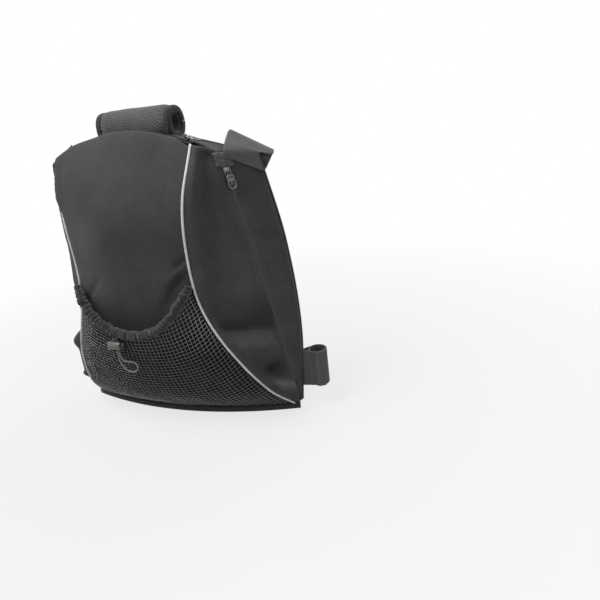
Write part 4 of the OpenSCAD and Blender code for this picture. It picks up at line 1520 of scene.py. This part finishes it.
GARAGE_HALF = 0.0128
GARAGE_T = 0.0024
PATCH_T = 0.0018
GARAGE_FRAY = (0.0016, 1.1, 62)
GARAGE_LUMPS = (0.0009, 0.007, 61)


def make_garage(side):
    x = np.linspace(-1, 1, 21)[:, None]
    y = np.linspace(-1, 1, 21)[None, :]
    crown = 0.0018 + GARAGE_T * (1 - 0.5 * np.maximum(np.abs(x), np.abs(y)) ** 6)
    along = lerp(-GARAGE_L - 0.0040, 0.0022, (y + 1) / 2) - 0.0035 * x
    frayed = waves(x, y, GARAGE_FRAY)
    rough = waves(x * GARAGE_HALF, along, GARAGE_LUMPS)
    grid = zip_points("right", x * GARAGE_HALF + frayed, along + frayed[::-1], crown + rough)
    shell_piece(
        f"{side}_garage_patch", on_side(grid, side), GARAGE, PATCH_T, [f"{side}_zip_garage"]
    )


for side in SIDES:
    make_side_zip(side)
make_top_zip()


# Cord lock, eyelet, ladder locks and frame sheet
for node, material, slot, body in (
    ("cord_lock_barrel", LOCK, "lock_plastic", "cord_lock"),
    ("cord_lock_plunger", BUTTON, "button_plastic", "cord_lock_button"),
    ("hem_eyelet", METAL, "zip_metal", "bag"),
    ("right_ladder_lock", BUCKLE, "buckle_plastic", "right_ladder_lock"),
    ("left_ladder_lock", BUCKLE, "buckle_plastic", "left_ladder_lock"),
):
    dress(rounded_copy(node + "_moulded", node, MOULDED_ROUND), material, body, [node])
frame["nodes"]["frame_sheet"].data.materials.clear()
frame["nodes"]["frame_sheet"].data.materials.append(PLATE)


def make_spring():
    """The lock's spring: a copy of its node that rides on the lock."""
    mesh = frame["nodes"]["cord_lock_spring"].data.copy()
    coil = link(bpy.data.objects.new("cord_lock_coil", mesh))
    dress(coil, METAL, "cord_lock", ["cord_lock_spring"])
    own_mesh(coil)


make_spring()


# Tube fittings
OPENING_HALF = 0.0003
HINGE_SKIN = 0.0011
INNER_STEPS = 41


def split_ring(name, centre, axis, inward, length, inner, outer, swell, lip=0.0, taper=0.0):
    """A ring of cloth round the tube, open on one side and hinged on the other by its outer skin."""
    hinge = np.cross(inward, axis)
    gap = OPENING_HALF / outer
    arc_out = np.linspace(gap, 2 * math.pi - gap, 97)
    back = np.linspace(2 * math.pi - gap, math.pi + gap, INNER_STEPS)
    fore = np.linspace(math.pi - gap, gap, INNER_STEPS)
    turn = np.concatenate([arc_out, back, [math.pi + gap, math.pi - gap], fore])
    rings = []
    round_l = min(0.35 * (outer - inner), 0.004)
    for s in np.linspace(-1, 1, 61):
        past = max(0.0, (abs(s) - 1) * length / 2 + round_l) / round_l
        pinch = (1 - math.sqrt(max(0.0, 1 - past * past))) * round_l
        edge = bump(abs(s), 1 - 2 * 0.006 / length, 0.004 / length * 2)
        r_out = outer - pinch + swell * ripples(s * length / 2, arc_out * outer, 0.05, 71)
        r_out = r_out - lip * edge - taper * smooth(0.70, 1.0, abs(s))
        r_in = np.full(INNER_STEPS, inner + pinch)
        reach = np.concatenate([r_out, r_in, [outer - HINGE_SKIN - pinch] * 2, r_in])
        flat = reach[:, None] * (np.sin(turn)[:, None] * inward - np.cos(turn)[:, None] * hinge)
        rings.append(centre + s * length / 2 * axis + flat)
    return loft(name, rings), hinge


def hang_ring(ring):
    """Bakes the placement of a ring into its mesh."""
    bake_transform(ring)


LAP_T = 0.0010
LAP_RISE = 0.0012
LAP_TURNS = (-0.55, 0.32)
LAP_WAVES = (0.0003, 0.02, 75)


def make_lap(name, centre, axis, inward, length, outer, flap, material):
    """Edge of a flap that laps over the opening of its ring."""
    opening = -np.cross(inward, axis)
    turn = np.linspace(*LAP_TURNS, 17)[:, None]
    run = np.linspace(-1, 1, 41)[None, :]
    rise = outer + LAP_RISE + waves(turn * outer, run * length / 2, LAP_WAVES)
    edge = np.sin(turn)[..., None] * inward + np.cos(turn)[..., None] * opening
    grid = centre + rise[..., None] * edge + (run * length / 2 * 0.985)[..., None] * axis
    return dress(cloth_sheet(name, facing(grid, 8, 20, opening), LAP_T), material, flap)


CUFF_L = 0.012
CUFF_IN = 0.004


def make_sleeve():
    centre, axis, inward = np.zeros(3), np.array((1.0, 0, 0)), np.array((0, 0, -1.0))
    roll, hinge = split_ring(
        "carry_roll", centre, axis, inward, SLEEVE_L, TUBE_R, SLEEVE_R, 0.0006, 0.0010, 0.0030
    )
    dress(roll, SLEEVE, None, ["carry_sleeve", "carry_sleeve_flap"])
    hang_ring(roll)
    for side, end in SIDES.items():
        at = centre + end * (SLEEVE_L / 2 - CUFF_IN) * axis
        cuff, _ = split_ring(
            f"carry_roll_cuff_{side}", at, axis, inward, CUFF_L, TUBE_R + 0.0010, SLEEVE_R - 0.0014, 0.0010
        )
        dress(cuff, HEM, None)
        hang_ring(cuff)
    make_lap(
        "carry_roll_lap", centre, axis, inward, SLEEVE_L - 0.010, SLEEVE_R, "sleeve_flap",
        SLEEVE,
    )


make_sleeve()


SHOULDER_X = 0.167
TUBE_SAG = 1.86
SHOULDER_WRAP_L = 0.072
LOWER_WRAP_L = 0.064
TAB_K = 0.94
TAB_V = 0.74
TAB_T = 0.003


def tube_point(x):
    return np.array((x, BOW * (x / BOW_HALF) ** 2, -TUBE_SAG * x * x))


shoulder_c = tube_point(SHOULDER_X)
shoulder_axis = unit(tube_point(SHOULDER_X + 0.001) - tube_point(SHOULDER_X - 0.001))
tab_seat = top_face(np.asarray(TAB_K), np.asarray(TAB_V)) + np.array((0, 0, TAB_T / 2 + 3 * GAP))
shoulder_in = (tab_seat - shoulder_c) - shoulder_axis * ((tab_seat - shoulder_c) @ shoulder_axis)
shoulder_in = shoulder_in / np.linalg.norm(shoulder_in)
LOWER_WRAP_OUT = 0.029
LOWER_T = 0.071 / FRONT_H
lower_out = unit(np.array((23.0, 10.0, 0.0)))
lower_c = front_seam(np.asarray(LOWER_T)) + LOWER_WRAP_OUT * lower_out
lower_in = -lower_out
lower_axis = np.array((0, 0, 1.0))


def make_wrap(side, place, centre, axis, inward, length):
    centre, inward = centre * mirror(side), inward * mirror(side)
    axis = axis * mirror(side) * SIDES[side]
    node = f"{side}_{place}"
    ring, hinge = split_ring(node + "_loop", centre, axis, inward, length, TUBE_R, WRAP_R, 0.0002)
    dress(ring, WRAP, None, [node + "_wrap", node + "_flap"])
    hang_ring(ring)
    make_lap(node + "_lap", centre, axis, inward, length, WRAP_R, node + "_flap", WRAP)


for side in SIDES:
    make_wrap(side, "shoulder", shoulder_c, shoulder_axis, shoulder_in, SHOULDER_WRAP_L)
    make_wrap(side, "lower", lower_c, lower_axis, lower_in, LOWER_WRAP_L)


def bridge_grid(starts, start_dirs, ends, end_dirs, rows):
    """A sheet that leaves one edge in a direction and comes down to another."""
    u = np.linspace(0, 1, rows)[None, :, None]
    a, b = starts[:, None], ends[:, None]
    span = np.linalg.norm(b - a, axis=-1, keepdims=True)
    da, db = start_dirs[:, None] * span, end_dirs[:, None] * span
    return (
        (2 * u**3 - 3 * u**2 + 1) * a + (u**3 - 2 * u**2 + u) * da
        + (3 * u**2 - 2 * u**3) * b + (u**3 - u**2) * db
    )


def leaving(turn, hinge, inward):
    """Directions at a turn round the tube from the hinge: out of the ring, and along it."""
    away = math.cos(turn) * hinge + math.sin(turn) * inward
    return away, math.cos(turn) * inward - math.sin(turn) * hinge


WRAP_COVER_T = 0.0022
LOWER_COVER_T = 0.0014
# Turn round the tube at which each cover leaves its ring
COVER_TURN = 0.35
LOWER_COVER_TURN = 0.9
COVER_WAVES = (0.0009, 0.05, 81)
# The shoulder cover's lower edge: from where to where across the side, and how far below the seam
COVER_V = (0.50, 0.985)
COVER_DROP = (0.007, 0.021)
COVER_ROWS = (0, 0.22, 0.74, 1)


def shoulder_cover_grid():
    """The wrap's outer sheet, from the top of the tube over the shoulder seam and down the side."""
    s = np.linspace(-1, 1, 41)
    share = (s + 1) / 2
    hinge = np.cross(shoulder_in, shoulder_axis)
    away, along = leaving(COVER_TURN, hinge, shoulder_in)
    starts = shoulder_c + (WRAP_R + 0.0020) * away + s[:, None] * SHOULDER_WRAP_L / 2 * shoulder_axis
    v = lerp(*COVER_V, share)
    w = ((v - TOP_BEND) / (1 - TOP_BEND))[:, None]
    t = 1 - lerp(*COVER_DROP, share) / FRONT_H
    side = lerp(zip_line(t), front_seam(t), w) + (PUFF * 4 * w * (1 - w) + 0.0046) * gusset_out(t)
    edge = shoulder_line(v) + np.array((0, 0, 0.0040)) + 0.0055 * gusset_out(np.full(41, 0.999))
    rows = np.stack([starts, starts + 0.010 * along, edge, side])
    u = np.linspace(0, 1, 49)
    grid = np.empty((41, 49, 3))
    for i in range(41):
        for axis in range(3):
            grid[i, :, axis] = curve(COVER_ROWS, rows[:, i, axis], u)
    grid = facing(grid, 20, 16, hinge)
    return raised(grid, waves(grid[..., 0], grid[..., 2], COVER_WAVES))


def lower_cover_grid(sign):
    """One face of the lower wrap's sewn end, from the ring to the front seam."""
    z = np.linspace(-1, 1, 31) * LOWER_WRAP_L / 2
    hinge = np.cross(lower_in, lower_axis) * sign
    away, along = leaving(LOWER_COVER_TURN, hinge, lower_in)
    starts = lower_c + (WRAP_R + 0.0010) * away + z[:, None] * lower_axis
    t = (z + lower_c[2] - BASE_Z) / FRONT_H
    ends = front_seam(t) + 0.0022 * hinge + 0.001 * lower_out
    dirs = np.broadcast_to(along, starts.shape)
    return facing(bridge_grid(starts, dirs, ends, dirs, 17), 15, 8, hinge)


for side in SIDES:
    shell_piece(
        f"{side}_shoulder_cover", on_side(shoulder_cover_grid(), side), WRAP, WRAP_COVER_T,
        [f"{side}_shoulder_tab"],
    )
    for face, sign in (("front", 1), ("rear", -1)):
        shell_piece(
            f"{side}_lower_cover_{face}", on_side(lower_cover_grid(sign), side), WRAP,
            LOWER_COVER_T, [f"{side}_lower_tab"],
        )


# Stitch rows on the shell
STITCH_RISE = 0.0001


def above(grid):
    return raised(grid, np.full(grid.shape[:2], STITCH_RISE))


def sew_shell():
    rear, gusset, front = above(REAR_GRID), above(REAR_GUSSET_GRID), above(FRONT_GUSSET_GRID)
    top, cover = above(top_panel_grid()), above(shoulder_cover_grid())
    stitches("rear_panel_stitches", [rear[3, 4:-14], rear[-4, 4:-14], rear[4:-4, -12]])
    for side in SIDES:
        rows = [gusset[3, 4:-3], gusset[-5, 28:-3], front[4, 28:-3], front[-3, 4:-8]]
        stitches(f"{side}_gusset_stitches", [row * mirror(side) for row in rows])
        rows = [cover[2, 12:-2], cover[-3, 12:-2], cover[2:-2, -3], cover[2:-2, -6]]
        stitches(f"{side}_cover_stitches", [row * mirror(side) for row in rows])
    stitches("top_panel_stitches", [top[4:-4, 2], top[4:-4, -4]])


sew_shell()


# Shoulder straps
YOKE_HALF = 0.105
YOKE_Z = -0.078
YOKE_H = 0.030
YOKE_T = 0.003
STRAP_TOP = np.array((0.070, YOKE_Z - GAP))
STRAP_END = np.array((0.095, BASE_Z + 0.150))
STRAP_W = 0.060
STRAP_T = 0.010
STRAP_CROWN = 0.0042
STRAP_BINDING_R = 0.0030
WEBBING_END = np.array((0.150, BASE_Z + 0.030))
WEBBING_TOP = STRAP_END - np.array((0, 0.012))
WEBBING_W = 0.025
WEBBING_T = 0.002
WEBBING_CROWN = 0.0003
ANCHOR_W = 0.036
ANCHOR_H = 0.026
ANCHOR_T = 0.002
ANCHOR_CROWN = 0.0004
ANCHOR_STITCH = 0.003


def strap_grids(side, start, end, width, low, thick, columns, rows, crown, seed):
    """Outer and inner points of a strap that lies on the front panel."""
    s = np.linspace(1, -1, columns)[:, None]
    u = np.linspace(0, 1, rows)[None, :]
    x = lerp(start[0], end[0], u) + s * width / 2
    z = lerp(start[1], end[1], u) + 0 * s
    length = float(np.linalg.norm(end - start))
    rim = np.minimum((1 - np.abs(s)) * width / 2, np.minimum(u, 1 - u) * length)
    fall = crown * np.exp(-rim / 0.006)
    lumps = 0.06 * crown * ripples(s * width / 2, u * length, 0.03, seed)
    return [on_side(on_front(x, z, off), side) for off in (low + thick - fall + lumps, low + 0.3 * fall)]


def closed_sheet(name, outer, inner):
    """Cloth sheet between two grids of points."""
    piece = cloth_sheet(name, outer, 0.001)
    edge, inside = border_of(*outer.shape[:2])
    flat, under = outer.reshape(-1, 3), inner.reshape(-1, 3)
    half = np.linalg.norm(flat[edge] - under[edge], axis=1, keepdims=True) / 2
    middle = (flat[edge] + under[edge]) / 2 + 0.7 * half * unit(flat[edge] - flat[inside])
    piece.data.vertices.foreach_set("co", np.concatenate([flat, under, middle]).ravel())
    piece.data.update()
    return piece


def sew_strap(name, outer, inner):
    """Binding round the edge of a strap pad, and a row of stitches inside it."""
    edge, inside = border_of(*outer.shape[:2])
    flat, under = outer.reshape(-1, 3), inner.reshape(-1, 3)
    path = (flat[edge] + under[edge]) / 2 + 0.0006 * unit(flat[edge] - flat[inside])
    path = np.concatenate([path, path[:1]])
    dress(loft(name + "_binding", tube_rings(path, STRAP_BINDING_R, 10, (0, 1, 0))), WEBBING)
    rows = above(outer)
    lines = [rows[4, 4:-4], rows[-5, 4:-4], rows[4:-4, 4], rows[4:-4, -5]]
    stitches(name + "_stitches", lines)


def make_straps(side):
    outer, inner = strap_grids(side, STRAP_END, STRAP_TOP, STRAP_W, GAP, STRAP_T, 33, 121, STRAP_CROWN, 91)
    sew_strap(f"{side}_strap", outer, inner)
    pad = closed_sheet(f"{side}_strap_pad", outer, inner)
    dress(pad, BACK, "bag", [f"{side}_shoulder_strap"])
    grids = strap_grids(
        side, WEBBING_END, WEBBING_TOP, WEBBING_W, GAP, WEBBING_T, 13, 81, WEBBING_CROWN, 92
    )
    webbing = closed_sheet(f"{side}_webbing", *grids)
    dress(webbing, WEBBING, "bag", [f"{side}_strap_webbing"])


for side in SIDES:
    make_straps(side)


def make_yoke():
    grid = front_layer_grid(YOKE_HALF, YOKE_Z, YOKE_Z + YOKE_H, GAP + YOKE_T, 81, 17)
    shell_piece("strap_yoke_patch", grid, SHELL, YOKE_T, ["strap_yoke"])
    rows = above(grid)
    lines = [rows[2:-2, 2], rows[2:-2, -3], rows[2, 2:-2], rows[-3, 2:-2], rows[2:-2, 4]]
    stitches("yoke_stitches", lines)


def make_anchors():
    low = 2 * GAP + WEBBING_T
    top = WEBBING_END + np.array((0, ANCHOR_H))
    halves = []
    for side in SIDES:
        outer, inner = strap_grids(
            side, WEBBING_END, top, ANCHOR_W, low, ANCHOR_T, 13, 13, ANCHOR_CROWN, 93
        )
        halves.append(closed_sheet(f"{side}_anchor", outer, inner))
        rows = above(outer)[2:-2, 2:-2]
        across = np.arange(len(rows))
        box = [rows[0], rows[-1], rows[:, 0], rows[:, -1], rows[across, across], rows[across, across[::-1]]]
        stitches(f"{side}_anchor_stitches", box, ANCHOR_STITCH)
    dress(join("strap_anchor_patches", halves), WEBBING, "bag", ["strap_anchors"])


make_yoke()
make_anchors()
